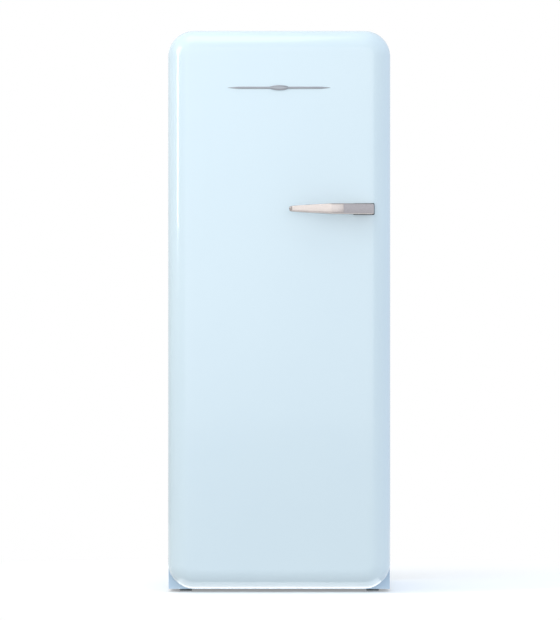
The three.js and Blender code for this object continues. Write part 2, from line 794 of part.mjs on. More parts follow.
// Housing on the right wall for the lamp and the temperature dial.
function controlHousing() {
  const wall = cavityHalf - seat;
  const face = wall - controlDepth;
  const lamp = block(face - 1, face + 12, controlFront + 66, controlFront + controlLength - 12,
    controlTop - controlHeight + 14, controlTop - 14);
  const shaft = rodX(5 + seat, face - 1, face + 14, dialY, dialZ, 12);
  return cut(block(face, wall, controlFront, controlFront + controlLength, controlTop - controlHeight, controlTop),
    lamp, shaft);
}

function lampLens() {
  const face = cavityHalf - seat - controlDepth;
  return block(face - 3, face + 10, controlFront + 66 + seat, controlFront + controlLength - 12 - seat,
    controlTop - controlHeight + 14 + seat, controlTop - 14 - seat);
}

// The dial in its own frame: its shaft runs along +X from the origin, which is on the housing's face.
function thermostatDial() {
  const knob = rodX(dialRadius, -12, -1, 0, 0, 24);
  const shaft = rodX(5, -2, 12, 0, 0, 12);
  const pointer = block(-15, -11, -2, 2, 2, dialRadius - 2);
  return join(knob, shaft, pointer);
}

// ---- Door ---------------------------------------------------------------------------------------------

// The door's pillow form, drawn in by inset, from its back plane forward.
function pillow(inset, back) {
  const half = halfWidth - inset;
  const radius = doorEdgeRadius - inset;
  const outline = roundedRectangle(-half, half, inset, doorHeight - inset, cornerRadius - inset);
  const geometry = new THREE.ExtrudeGeometry(outline, {
    depth: doorDepth - doorEdgeRadius, bevelEnabled: true, bevelThickness: radius,
    bevelSize: radius, bevelOffset: -radius, bevelSegments: 6, curveSegments: 6,
  });
  const whole = solidOf(geometry.rotateX(Math.PI / 2));
  const spare = prismY(outline, -1, back + 1);
  return join(whole, spare).intersect(block(-cabinetWidth, cabinetWidth, -2 * doorDepth, back, -doorDepth, 2 * doorHeight));
}

const armTops = { top: doorHeight - hingeHeight, bottom: hingeHeight };
const slotDepth = hingeSetback + 23;

// Slots at the door's back left edge, in which the hinge arms turn.
function hingeSlots() {
  return Object.values(armTops).map((z) => block(
    -halfWidth - 1, hingeX + hingeInset, -slotDepth, 1,
    z - hingeArmThickness - hingeSlotClearance, z + hingeSlotClearance));
}

// Each bush starts beyond its slot, towards the door's middle.
const bushSpans = {
  top: [armTops.top - hingeArmThickness - hingeSlotClearance - hingeBushLength - 1,
    armTops.top - hingeArmThickness - hingeSlotClearance - 1],
  bottom: [armTops.bottom + hingeSlotClearance + 1,
    armTops.bottom + hingeSlotClearance + 1 + hingeBushLength],
};

const bushRadius = hingePinRadius + seat + hingeBushWall;

function bushPocket(end) {
  const [z0, z1] = bushSpans[end];
  return rodZ(bushRadius + seat, z0 - seat, z1 + 2, hingeX, -hingeSetback, 16);
}

function pinPocket(end) {
  const [z0, z1] = bushSpans[end];
  return rodZ(bushRadius - 1, z0 - 8, z1 + 8, hingeX, -hingeSetback, 16);
}

function hingeBush(end) {
  const [z0, z1] = bushSpans[end];
  return cut(
    rodZ(bushRadius, z0, z1, hingeX, -hingeSetback, 16),
    rodZ(hingePinRadius + seat, z0 - 1, z1 + 1, hingeX, -hingeSetback, 16),
  );
}

function doorSkin() {
  return cut(pillow(0, 0), pillow(sheet, 1), ...hingeSlots());
}

const dykeHalf = cavityHalf - dykeClearance;
const dykeBottom = cavityBottom - doorDrop + dykeClearance;
const dykeTop = cavityTop - doorDrop - dykeClearance;
const panHalf = dykeHalf - dykeWidth;
const panBottom = dykeBottom + dykeWidth;
const panTop = dykeTop - dykeWidth;

function panForm(grow, back) {
  const outline = roundedRectangle(-panHalf - grow, panHalf + grow, panBottom - grow, panTop + grow, 14 + grow);
  return prismY(outline, -recessDepth - grow, back, 3);
}

function doorFoam() {
  const inner = pillow(sheet + seat, -doorLinerThickness - seat);
  return cut(inner, panForm(doorLinerThickness + seat, 1), ...hingeSlots(),
    bushPocket("top"), bushPocket("bottom"), pinPocket("top"), pinPocket("bottom"));
}

// Inner door panel: flange, raised dyke and sunk pan, with lugs that the bins stand on.
function doorLiner() {
  const half = halfWidth - sheet - seat;
  const edge = sheet + seat;
  const flange = roundedRectangle(-half, half, edge, doorHeight - edge, cornerRadius - edge);
  const dyke = roundedRectangle(-dykeHalf, dykeHalf, dykeBottom, dykeTop, 20);
  const solid = join(
    prismY(flange, -doorLinerThickness, 0),
    prismY(dyke, -1, dykeHeight, 4),
    panForm(doorLinerThickness, -1),
  );
  const lugs = [];
  for (const z of [bottleBinZ, middleBinZ, upperBinZ, dairyZ]) {
    for (const side of [-1, 1]) {
      const x0 = Math.min(side * (panHalf + 1), side * (panHalf - 12));
      lugs.push(block(x0, x0 + 13, 6, dykeHeight - 8, z - 8, z - seat));
    }
  }
  return cut(join(cut(solid, panForm(0, dykeHeight + 1)), ...lugs), ...hingeSlots());
}

function doorGasket() {
  const outer = cavityHalf + gasketMargin + gasketWidth;
  const inner = cavityHalf + gasketMargin;
  const bottom = cavityBottom - doorDrop - gasketMargin;
  const top = cavityTop - doorDrop + gasketMargin;
  const back = doorGap - seat;
  return cut(
    block(-outer, outer, seat, back, bottom - gasketWidth, top + gasketWidth),
    block(-inner, inner, 0, back + 1, bottom, top),
  );
}

// The pull: an arm that rises from the door, a short bridge and a tapering grip with a free tip.
// It is cut from a plan outline (X, Y) and a front outline (X, Z).
function doorHandle() {
  const right = halfWidth - handleInset;
  const firstBend = right - handleArmLength;
  const secondBend = firstBend - handleBridgeLength;
  const tip = secondBend - handleGripLength;
  const face = -doorDepth - seat;
  const out = (distance) => -doorDepth - distance;
  const plan = polygon([
    [right, face + 2], [right, out(9)], [right - 6, out(15)], [firstBend, out(handleStandoff - 5)],
    [secondBend, out(handleStandoff)], [tip + 5, out(handleStandoff - 13)], [tip, out(handleStandoff - 17)],
    [tip + 5, out(handleStandoff - 24)], [secondBend, out(handleStandoff - 20)],
    [firstBend - 4, out(handleStandoff - 24)], [firstBend + 16, out(13)], [firstBend + 24, face],
    [right - 12, face],
  ]);
  const middle = doorHeight - handleDrop;
  const half = handleHeight / 2;
  const tipHalf = handleTipHeight / 2;
  const front = (inset) => polygon([
    [right, middle - half + 3 + inset], [right, middle + half - 3 - inset], [right - 4, middle + half - inset],
    [firstBend, middle + half - inset], [secondBend, middle + half - 0.5 - inset],
    [tip + 5, middle + tipHalf - inset], [tip, middle + tipHalf - 4 - inset],
    [tip, middle - tipHalf + 4 + inset], [tip + 5, middle - tipHalf + inset],
    [secondBend, middle - half + 0.5 + inset], [firstBend, middle - half + inset],
    [right - 4, middle - half + inset],
  ]);
  const bar = prismZ(plan, middle - half, middle + half);
  const bullnose = pillow(-seat, 1);
  return cut(bar.intersect(prismY(front(0), -doorDepth - handleStandoff - 1, 0)), bullnose);
}

// A plain trim bar with tapered ends and an oval boss.
function badge() {
  const half = badgeLength / 2;
  const z = doorHeight - badgeDrop;
  const bar = polygon([
    [-half, z], [-half + 30, z + 3], [half - 30, z + 3], [half, z], [half - 30, z - 3], [-half + 30, z - 3],
  ]);
  const boss = new THREE.Shape();
  boss.absellipse(0, z, 1.9 * badgeHeight, badgeHeight / 2, 0, 2 * Math.PI);
  const front = -doorDepth - 4;
  return join(prismY(bar, front + 1, -doorDepth - seat), prismY(boss, front, -doorDepth - seat, 20));
}

// ---- Door bins ----------------------------------------------------------------------------------------

const binHalf = panHalf - 4;
const binBack = -recessDepth + 2;
const binFront = binReach;
const bottleBinZ = panBottom + binFloorGap;
const dairyZ = freezerBottom - doorDrop + 2;
const binSpacing = (dairyZ - bottleBinZ - bottleBinHeight) / 3;
const middleBinZ = bottleBinZ + bottleBinHeight + binSpacing * 0.9;
const upperBinZ = middleBinZ + binSpacing * 1.05;
const dairyHeight = 92;
const lidThickness = 3;

function doorBin(height) {
  const body = tub(-binHalf, binHalf, binBack, binFront, 0, height, binWall, 12);
  const scoop = block(-binHalf + 26, binHalf - 26, binFront - 6, binFront + 1, height - 16, height + 1);
  return cut(body, scoop);
}

// Chromed rail that keeps bottles from tipping, clipped over the ends of the bottle bin.
function bottleRail() {
  const half = binHalf;
  const z = bottleBinHeight + 46;
  const front = binFront - 8;
  const rail = rodX(3, -half, half, front, z, 10);
  const arms = [-1, 1].map((side) => rodY(3, 40, front + 3, side * (half - 3), z, 10));
  const legs = [-1, 1].map((side) => block(
    side * (half - 3) - 3, side * (half - 3) + 3, 40, 46, bottleBinHeight + seat, z + 3));
  return join(rail, ...arms, ...legs);
}

function dairyBox() {
  return tub(-binHalf, binHalf, binBack, binFront, 0, dairyHeight, binWall, 12);
}

// The dairy box's lid in its own frame: hinged along X at the origin, lying over the box.
function dairyLid() {
  const depth = binFront - binBack - 8;
  const lid = block(-binHalf, binHalf, 0, depth, -lidThickness / 2, lidThickness / 2);
  const lip = block(-binHalf + 60, binHalf - 60, depth - 2.5, depth, -14, 1);
  const pins = rodX(lidThickness / 2, -panHalf + seat, panHalf - seat, 0, 0, 10);
  return join(lid, lip, pins);
}

// ---- Hinge hardware on the cabinet --------------------------------------------------------------------

// In the cabinet's frame: the door's heights are doorDrop higher here.
function hingeBracket(end) {
  const top = armTops[end] + doorDrop;
  const axisY = -doorGap - hingeSetback;
  const left = -halfWidth + 1.5;
  const right = hingeX + 9;
  const leaf = block(left, right, -3 - seat, -seat, top - 32, top + 28);
  const arm = join(
    block(hingeX - 9, right, axisY, -3, top - hingeArmThickness, top),
    rodZ(9, top - hingeArmThickness, top, hingeX, axisY, 16),
  );
  return cut(join(leaf, arm), rodZ(hingePinRadius + seat, top - 10, top + 10, hingeX, axisY, 16));
}

function hingePin(end) {
  const top = armTops[end] + doorDrop;
  const axisY = -doorGap - hingeSetback;
  const [z0, z1] = bushSpans[end].map((z) => z + doorDrop);
  const from = end === "top" ? z0 + 1 : top - hingeArmThickness;
  const to = end === "top" ? top : z1 - 1;
  return rodZ(hingePinRadius, from, to, hingeX, axisY, 16);
}

// ---- Assembly -----------------------------------------------------------------------------------------

const sides = { left: -1, right: 1 };
const ends = ["top", "bottom"];

const cabinet = groupAt(0, cabinetFrontY, footHeight,
  piece("cabinet_shell", "paint", cabinetShell()),
  piece("cabinet_foam", "foam", cabinetFoam()),
  piece("inner_liner", "whitePlastic", innerLiner()),
  piece("back_panel", "zinc", backPanel()),
  piece("base_plate", "zinc", basePlate()),
  piece("drain_tube", "whitePlastic", drainTube()),
  ...ends.map((end) => piece(`hinge_bracket_${end}`, "zinc", hingeBracket(end))),
  ...ends.map((end) => piece(`hinge_pin_${end}`, "zinc", hingePin(end))),
);

const machineRoom = groupAt(0, cabinetFrontY, footHeight,
  piece("compressor_tray", "zinc", compressorTray()),
  groupAt(compressorX, compressorY, casingBase,
    piece("compressor_casing", "black", compressorCasing()),
    piece("compressor_pump", "zinc", compressorPump()),
    piece("compressor_relay", "black", compressorRelay()),
  ),
  piece("evaporation_tray", "black", evaporationTray()),
  piece("discharge_pipe", "copper", dischargePipe()),
  piece("suction_pipe", "copper", suctionPipe()),
  piece("condenser_grid", "black", condenserGrid()),
  piece("cord_gland", "black", cordGland(), condenserRight - 30, 0, machineRoomHeight + 40),
);
[[-1, -1], [1, -1], [-1, 1], [1, 1]].forEach(([sideX, sideY], i) => machineRoom.add(
  piece(`grommet_${i + 1}`, "rubber", grommet(),
    compressorX + sideX * compressorFootX, compressorY + sideY * compressorFootY, trayTop + seat)));

const interior = groupAt(0, cabinetFrontY, footHeight,
  piece("freezer_frame", "whitePlastic", freezerFrame()),
  piece("freezer_evaporator", "aluminium", freezerEvaporator()),
  piece("freezer_flap", "whitePlastic", freezerFlap(), flapAxisX, flapAxisY, 0),
  piece("shelf_glass_upper", "glass", shelfGlass(upperShelfZ)),
  piece("shelf_glass_lower", "glass", shelfGlass(lowerShelfZ)),
  piece("shelf_trim_upper", "whitePlastic", shelfTrim(upperShelfZ)),
  piece("shelf_trim_lower", "whitePlastic", shelfTrim(lowerShelfZ)),
  piece("bottle_rack", "chrome", bottleRack()),
  piece("crisper_cover", "glass", crisperCover()),
  piece("crisper_drawer", "clearPlastic", crisperDrawer(), 0, interiorFront, cavityBottom),
  piece("air_duct_cover", "whitePlastic", airDuctCover()),
  piece("fan_motor", "black", fanMotor()),
  piece("fan_rotor", "black", fanRotor(), 0, rotorFront, fanZ),
  piece("control_housing", "whitePlastic", controlHousing()),
  piece("lamp_lens", "clearPlastic", lampLens()),
  piece("thermostat_dial", "whitePlastic", thermostatDial(), cavityHalf - seat - controlDepth, dialY, dialZ),
);

const door = groupAt(0, doorBackY, doorBottomZ,
  piece("door_skin", "paint", doorSkin()),
  piece("door_foam", "foam", doorFoam()),
  piece("door_liner", "whitePlastic", doorLiner()),
  piece("door_gasket", "gasket", doorGasket()),
  piece("door_handle", "chrome", doorHandle()),
  piece("trim_badge", "chrome", badge()),
  ...ends.map((end) => piece(`hinge_bush_${end}`, "whitePlastic", hingeBush(end))),
  piece("bottle_bin", "clearPlastic", doorBin(bottleBinHeight), 0, 0, bottleBinZ),
  piece("bottle_rail", "chrome", bottleRail(), 0, 0, bottleBinZ),
  piece("middle_bin", "clearPlastic", doorBin(binHeight), 0, 0, middleBinZ),
  piece("upper_bin", "clearPlastic", doorBin(binHeight), 0, 0, upperBinZ),
  piece("dairy_box", "clearPlastic", dairyBox(), 0, 0, dairyZ),
  piece("dairy_lid", "clearPlastic", dairyLid(), 0, binBack + 4, dairyZ + dairyHeight + lidThickness / 2 + seat),
);

const runningGear = new THREE.Group();
for (const [name, side] of Object.entries(sides)) {
  runningGear.add(
    piece(`foot_${name}`, "zinc", levellingFoot(), side * footX, cabinetFrontY + footY, 0),
    piece(`roller_${name}`, "black", roller(), side * rollerX, cabinetFrontY + rollerY, rollerRadius),
    piece(`roller_axle_${name}`, "zinc", rollerAxle(), side * rollerX, cabinetFrontY + rollerY, rollerRadius),
  );
}

const refrigerator = new THREE.Group();
refrigerator.add(cabinet, machineRoom, interior, door, runningGear);

export default refrigerator;
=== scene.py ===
import math

import bmesh
import bpy
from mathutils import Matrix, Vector


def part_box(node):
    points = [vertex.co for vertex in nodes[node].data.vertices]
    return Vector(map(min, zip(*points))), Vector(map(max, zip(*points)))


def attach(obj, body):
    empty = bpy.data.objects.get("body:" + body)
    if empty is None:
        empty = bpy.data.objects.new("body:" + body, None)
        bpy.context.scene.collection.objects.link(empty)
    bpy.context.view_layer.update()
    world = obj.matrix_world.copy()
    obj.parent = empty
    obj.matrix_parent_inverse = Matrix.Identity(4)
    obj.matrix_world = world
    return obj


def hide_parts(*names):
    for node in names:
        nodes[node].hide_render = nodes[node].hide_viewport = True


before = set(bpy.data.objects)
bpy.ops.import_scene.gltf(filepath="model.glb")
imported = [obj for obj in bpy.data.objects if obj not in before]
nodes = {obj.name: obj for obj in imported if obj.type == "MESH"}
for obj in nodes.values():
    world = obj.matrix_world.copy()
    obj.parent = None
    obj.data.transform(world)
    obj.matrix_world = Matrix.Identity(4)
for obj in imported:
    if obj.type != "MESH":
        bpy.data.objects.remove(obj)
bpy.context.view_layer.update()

print("frame loaded:", len(nodes), "nodes")


# Adds a node with its settings and its inputs; an input given as (node, "socket") is linked.
def addNode(tree, kind, inputs=None, **settings):
    node = tree.nodes.new(kind)
    for key, value in settings.items():
        setattr(node, key, value)
    for key, value in (inputs or {}).items():
        if isinstance(value, tuple) and isinstance(value[0], bpy.types.Node):
            tree.links.new(value[0].outputs[value[1]], node.inputs[key])
        else:
            node.inputs[key].default_value = value
    return node


# An sRGB hex colour as linear channels, with full alpha.
def toLinear(hexCode):
    channels = [int(hexCode[i:i + 2], 16) / 255 for i in (1, 3, 5)]
    return [c / 12.92 if c <= 0.04045 else ((c + 0.055) / 1.055) ** 2.4 for c in channels] + [1.0]


def startMaterial(name):
    material = bpy.data.materials.new(name)
    material.use_nodes = True
    tree = material.node_tree
    tree.nodes.clear()
    return material, tree


# Finishes the shader: colour between two hexes, roughness between two values and a bump, each driven by its
# own pattern. Grain sizes are real millimetres, along x, y and z of the object.
def surface(name, dark, light, rough, grain, bump, metal=0.0, ior=None, stretch=(1, 1, 1), cells=False,
            colourGrain=90, fixed=None):
    material, tree = startMaterial(name)
    place = addNode(tree, "ShaderNodeTexCoord")
    mapping = addNode(tree, "ShaderNodeMapping", {"Vector": (place, "Object"), "Scale": stretch})
    broad = addNode(tree, "ShaderNodeTexNoise", {"Vector": (mapping, "Vector"), "Scale": 1000 / colourGrain,
                                                 "Detail": 4.0, "Roughness": 0.6})
    fine = addNode(tree, "ShaderNodeTexNoise", {"Vector": (mapping, "Vector"), "Scale": 1000 / grain,
                                                "Detail": 3.0, "Roughness": 0.55})
    relief = fine
    if cells:
        relief = addNode(tree, "ShaderNodeTexVoronoi", {"Vector": (mapping, "Vector"), "Scale": 1000 / grain})
    colours = addNode(tree, "ShaderNodeMix", {0: (broad, "Fac"), 6: toLinear(dark), 7: toLinear(light)},
                      data_type="RGBA")
    roughness = addNode(tree, "ShaderNodeMapRange", {"Value": (fine, "Fac"), "From Min": 0.3, "From Max": 0.7,
                                                     "To Min": rough[0], "To Max": rough[1]})
    heights = addNode(tree, "ShaderNodeBump", {"Height": (relief, "Distance" if cells else "Fac"),
                                               "Strength": 1.0, "Distance": bump / 1000})
    inputs = {"Base Color": (colours, 2), "Roughness": (roughness, "Result"),
              "Normal": (heights, "Normal"), "Metallic": metal, **(fixed or {})}
    if ior:
        inputs["IOR"] = ior
    shader = addNode(tree, "ShaderNodeBsdfPrincipled", inputs)
    addNode(tree, "ShaderNodeOutputMaterial", {"Surface": (shader, "BSDF")})
    return material


# Gloss enamel baked on steel: a deep even colour, a clear reflection and a faint orange peel from the spray.
# The real peel is about 1.5 mm across; it is drawn 14 mm across so that it shows.
enamel = surface("baked_enamel_on_steel", "#d1e3ec", "#d6e7ee", (0.16, 0.22), 14, 0.010, ior=1.5,
                 colourGrain=420, fixed={"Coat Weight": 0.35, "Coat Roughness": 0.06})
# The same enamel painted darker and bluer for the cabinet: painted shade, the colour of the cabinet's flanges
# where they sit in the shade of the door's edge.
enamelCabinetShaded = surface("baked_enamel_cabinet_painted_shade", "#bcd5ea", "#c4dbee", (0.20, 0.27), 14, 0.012, ior=1.5,
                        colourGrain=420, fixed={"Coat Weight": 0.3, "Coat Roughness": 0.08})
# High-impact polystyrene, vacuum-formed: satin white, softly uneven where the hot sheet stretched.
polystyrene = surface("vacuum_formed_polystyrene", "#eef0ef", "#f7f8f6", (0.32, 0.42), 5, 0.02, ior=1.59,
                      colourGrain=160)
# ABS, injection-moulded: closer grained and a little brighter than the liner.
moulded = surface("moulded_abs", "#f0f1ef", "#fafaf8", (0.36, 0.48), 2.2, 0.012, ior=1.54, colourGrain=60)
# Polyacetal bushes: waxy natural white.
acetal = surface("acetal_bearing_plastic", "#e8e6dd", "#f1efe7", (0.3, 0.4), 2, 0.006, ior=1.48,
                 colourGrain=20)
# Clear polystyrene, injection-moulded: hard gloss with faint flow lines and a cool cast at the edges.
clearStyrene = surface("clear_polystyrene", "#e6f0f4", "#f4fafc", (0.04, 0.09), 22, 0.02, ior=1.59,
                       stretch=(1, 1, 0.4), fixed={"Alpha": 0.36, "Specular IOR Level": 0.7})
# Float glass, toughened: clear, faintly green, with a very slight roller wave.
floatGlass = surface("toughened_float_glass", "#e2f3ec", "#ecf8f3", (0.01, 0.03), 60, 0.008, ior=1.52,
                     fixed={"Alpha": 0.26, "Specular IOR Level": 0.8})
# Ground glass edge: where the pane was cut and arrised it is matt and deeper green.
groundGlass = surface("ground_glass_edge", "#9cc9b6", "#b9ddcd", (0.45, 0.6), 1.2, 0.03, ior=1.52)
# Satin chrome on die-cast zinc: cleanly reflective but brushed along its length, so light draws into short
# streaks. Real brush lines are 0.1 mm apart; they are drawn 1.6 mm apart.
satinChrome = surface("satin_chrome_plate", "#b5aca8", "#c3bbb7", (0.16, 0.21), 26, 0.0022, metal=1.0,
                      stretch=(1, 8, 16), colourGrain=40)
# Bright chrome on steel wire and small trim: a near mirror with tiny ripples from the drawn wire.
brightChrome = surface("bright_chrome_plate", "#dedfe1", "#ebecee", (0.05, 0.10), 9, 0.006, metal=1.0)
# Brushed trim metal on the badge: mid grey, with fine lines along its length that take the glare off.
brushedTrim = surface("brushed_trim_metal", "#8f9299", "#a5a8ae", (0.30, 0.38), 12, 0.003, metal=1.0,
                      stretch=(1, 8, 16), colourGrain=30)
# Zinc-plated sheet: soft grey with the cloudy spangle of passivated zinc, crystals about 9 mm across.
zincSheet = surface("zinc_plated_sheet", "#93979a", "#b3b6b8", (0.34, 0.52), 9, 0.012, metal=1.0, cells=True,
                    colourGrain=14)
# Turned zinc-plated steel for pins, feet and axles: brighter, with rings from the lathe.
turnedSteel = surface("turned_plated_steel", "#a2a5a8", "#bcbfc1", (0.25, 0.38), 5, 0.01, metal=1.0,
                      stretch=(1, 1, 9), colourGrain=8)
# Black stove paint on the compressor and the condenser: thick, semi-gloss, dust-dulled on top.
blackPaint = surface("black_stove_paint", "#131415", "#222426", (0.34, 0.55), 7, 0.03, ior=1.5,
                     colourGrain=30)
# Glass-filled polyamide: black, dull, with the sparkle of its short fibres in the skin.
blackPolyamide = surface("black_glass_filled_polyamide", "#17181a", "#26282a", (0.5, 0.68), 1.6, 0.015,
                         ior=1.53, colourGrain=20)
# Nitrile rubber mounts: matt charcoal, faint mould bloom.
nitrile = surface("nitrile_rubber", "#202122", "#303132", (0.75, 0.9), 2.5, 0.03, ior=1.52, colourGrain=12)
# Plasticised vinyl gasket: pale cool grey, soft sheen, slightly wavy where the magnet pulls it flat.
softVinyl = surface("soft_vinyl_gasket", "#b8bfc3", "#c9cfd2", (0.5, 0.62), 12, 0.04, ior=1.52,
                    colourGrain=70)
# Rolled aluminium evaporator: milky anodised grey with fine rolling lines front to back.
rolledAluminium = surface("rolled_anodised_aluminium", "#c9cdd0", "#dee1e3", (0.40, 0.52), 16, 0.01,
                          metal=1.0, stretch=(12, 1, 12), colourGrain=50)
# Soft-drawn copper pipe: dulled and browned in patches by handling and heat.
copperPipe = surface("drawn_copper_pipe", "#8a5238", "#c07c58", (0.3, 0.5), 6, 0.01, metal=1.0,
                     colourGrain=18)
# Machined grey iron: dark, directional and a little oily.
greyIron = surface("machined_grey_iron", "#4a4b4d", "#66686a", (0.32, 0.5), 4, 0.02, metal=1.0,
                   colourGrain=18)
# Polyurethane foam, blown in place: straw coloured, cells about 1 mm; they are drawn 3 mm across.
blownFoam = surface("blown_polyurethane_foam", "#d9c88f", "#eadca9", (0.85, 0.98), 3, 0.5, ior=1.45,
                    cells=True, colourGrain=35)
# Frosted polycarbonate lamp cover: milky, spreads the light behind it.
frostedCover = surface("frosted_polycarbonate", "#f4f6f4", "#fdfefc", (0.4, 0.5), 1.5, 0.03, ior=1.58,
                       fixed={"Emission Color": toLinear("#fff4dc"), "Emission Strength": 8.0})
# Painted grey legend ink on the dial and the housing.
greyInk = surface("pad_printed_grey_ink", "#5d6468", "#697074", (0.5, 0.6), 1, 0.004, ior=1.5, colourGrain=8)
# Pale blue polyethylene of the ice tray: waxy and soft edged.
polyethylene = surface("blue_polyethylene", "#a9cfe2", "#bcdcea", (0.38, 0.5), 4, 0.03, ior=1.51,
                       colourGrain=40)
print("materials made")


# mesh helpers: everything is in metres, in the object's own frame
creaseAngle = 32  # degrees, from which an edge shades as sharp
nearlyHalf = 0.49  # of a side, the most that a rounded corner takes


# Turns every face of a closed mesh to look outwards.
def faceOutwards(mesh):
    form = bmesh.new()
    form.from_mesh(mesh)
    bmesh.ops.recalc_face_normals(form, faces=form.faces)
    form.to_mesh(mesh)
    form.free()


def makePiece(name, vertices, faces, material, body, slot, sharp=creaseAngle, hides=()):
    mesh = bpy.data.meshes.new(name)
    mesh.from_pydata([tuple(v) for v in vertices], [], faces)
    mesh.validate()
    faceOutwards(mesh)
    mesh.shade_smooth()
    mesh.set_sharp_from_angle(angle=math.radians(sharp))
    piece = bpy.data.objects.new(name, mesh)
    bpy.context.scene.collection.objects.link(piece)
    mesh.materials.append(material)
    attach(piece, body)
    if hides:
        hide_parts(*hides)
    return piece


# Rounds the edges that are sharper than an angle in degrees.
def softenEdges(piece, width, angle):
    bevel = piece.modifiers.new("edge", "BEVEL")
    bevel.width, bevel.segments = width, 2
    bevel.limit_method, bevel.angle_limit = "ANGLE", math.radians(angle)


# Applies a piece's modifiers to its mesh, and splits the many-sided faces that a cut leaves.
def applyModifiers(piece):
    graph = bpy.context.evaluated_depsgraph_get()
    mesh = bpy.data.meshes.new_from_object(piece.evaluated_get(graph))
    piece.modifiers.clear()
    piece.data = mesh
    form = bmesh.new()
    form.from_mesh(mesh)
    bmesh.ops.triangulate(form, faces=[face for face in form.faces if len(face.verts) > 4])
    form.to_mesh(mesh)
    form.free()
    mesh.shade_smooth()
    mesh.set_sharp_from_angle(angle=math.radians(creaseAngle))


# Faces between rings that have the same number of points; ends are closed, or the last ring meets the first.
def ringFaces(ringCount, pointCount, closedRings=False, caps=True):
    faces = []
    steps = ringCount if closedRings else ringCount - 1
    for r in range(steps):
        a, b = r * pointCount, ((r + 1) % ringCount) * pointCount
        for p in range(pointCount):
            q = (p + 1) % pointCount
            faces.append((a + p, a + q, b + q, b + p))
    if caps and not closedRings:
        faces.append(tuple(range(pointCount)))
        faces.append(tuple(range((ringCount - 1) * pointCount, ringCount * pointCount)))
    return faces


# Points round a rectangle with rounded corners, from its lower right.
def roundedLoop(x0, x1, z0, z1, radius, steps):
    points = []
    for cx, cz, start in ((x1 - radius, z0 + radius, -90), (x1 - radius, z1 - radius, 0),
                          (x0 + radius, z1 - radius, 90), (x0 + radius, z0 + radius, 180)):
        for k in range(steps + 1):
            a = math.radians(start + 90 * k / steps)
            points.append((cx + radius * math.cos(a), cz + radius * math.sin(a)))
    return points


# A box with all its edges rounded, as one list of vertices and faces.
def softBox(low, high, radius, steps=3):
    x0, y0, z0 = low
    x1, y1, z1 = high
    radius = min(radius, nearlyHalf * min(x1 - x0, y1 - y0, z1 - z0))
    least = radius * 0.12  # the corner that the end faces keep
    vertices = []
    for side in (0, 1):
        for k in range(steps + 1):
            a = math.radians(90 * (k / steps if side == 0 else 1 - k / steps))
            inset = radius * (1 - math.sin(a))
            y = y0 + radius * (1 - math.cos(a)) if side == 0 else y1 - radius * (1 - math.cos(a))
            loop = roundedLoop(x0 + inset, x1 - inset, z0 + inset, z1 - inset, max(radius - inset, least),
                               steps)
            vertices += [(x, y, z) for x, z in loop]
    return vertices, ringFaces(2 * (steps + 1), (steps + 1) * 4)


# A round bar along points, with rounded corners already in them.
def tube(points, radius, sides=10):
    points = [Vector(p) for p in points]
    vertices = []
    across = None
    for i, point in enumerate(points):
        ahead = points[min(i + 1, len(points) - 1)] - points[max(i - 1, 0)]
        ahead.normalize()
        if across is None:
            across = ahead.orthogonal().normalized()
        across = (across - ahead * across.dot(ahead)).normalized()
        other = ahead.cross(across)
        for k in range(sides):
            a = 2 * math.pi * k / sides
            vertices.append(point + radius * (math.cos(a) * across + math.sin(a) * other))
    return vertices, ringFaces(len(points), sides)


# A turned form: its profile is (radius, height) pairs along an axis through a centre.
def lathe(profile, centre, axis="Z", sides=40, stretchX=1.0):
    vertices = []
    for radius, height in profile:
        for k in range(sides):
            a = 2 * math.pi * k / sides
            u, v = radius * math.cos(a), radius * math.sin(a)
            offset = {"Z": (u * stretchX, v, height), "Y": (u, height, v), "X": (height, u, v)}[axis]
            vertices.append(Vector(centre) + Vector(offset))
    return vertices, ringFaces(len(profile), sides)


# Joins several (vertices, faces) forms in one piece.
def gather(*forms):
    vertices, faces = [], []
    for some, theirs in forms:
        base = len(vertices)
        vertices += list(some)
        faces += [tuple(base + i for i in face) for face in theirs]
    return vertices, faces


# Rounds the corners of a bent wire: each inner point becomes an arc of so many steps.
def bend(points, radius, steps=5):
    points = [Vector(p) for p in points]
    line = [points[0]]
    for before, corner, after in zip(points, points[1:], points[2:]):
        reach = min(radius, nearlyHalf * (corner - before).length, nearlyHalf * (after - corner).length)
        start = corner + (before - corner).normalized() * reach
        end = corner + (after - corner).normalized() * reach
        for k in range(steps + 1):
            t = k / steps
            line.append((1 - t) ** 2 * start + 2 * t * (1 - t) * corner + t ** 2 * end)
    return line + [points[-1]]


# A closed section swept round a rounded rectangle that lies in the plane xz or xy.
def frameSweep(x0, x1, v0, v1, base, section, corner, steps=5, flat="xz"):
    vertices, leastCorner = [], 0.0008
    for inset, rise in section:
        loop = roundedLoop(x0 + inset, x1 - inset, v0 + inset, v1 - inset, max(corner - inset, leastCorner),
                           steps)
        vertices += [(x, base + rise, v) if flat == "xz" else (x, v, base + rise) for x, v in loop]
    return vertices, ringFaces(len(section), (steps + 1) * 4, closedRings=True, caps=False)


# A pan-head screw with a round socket, standing on a face; up is 1 or -1 along the axis.
def screwHead(centre, axis, up, radius=0.0035, rise=0.0018):
    profile = [(0.98, -0.1), (1.0, 0.15), (0.93, 0.62), (0.72, 1.0), (0.42, 1.0), (0.36, 0.35), (0.04, 0.3)]
    return lathe([(radius * r, rise * h * up) for r, h in profile], centre, axis, sides=16)


# camera, lights and floor
view = dict(distance=14.0, aimX=0.0022, faceY=-0.281, height=0.7657, shownHeight=1.678, sensor=36.0,
            farClip=60)
camera = bpy.data.objects.new("camera", bpy.data.cameras.new("camera"))
bpy.context.scene.collection.objects.link(camera)
camera.data.sensor_width = view["sensor"]
camera.data.lens = view["sensor"] * view["distance"] / view["shownHeight"]
camera.data.clip_end = view["farClip"]
camera.location = (view["aimX"], view["faceY"] - view["distance"], view["height"])
camera.rotation_euler = (math.radians(90), 0, 0)
bpy.context.scene.camera = camera


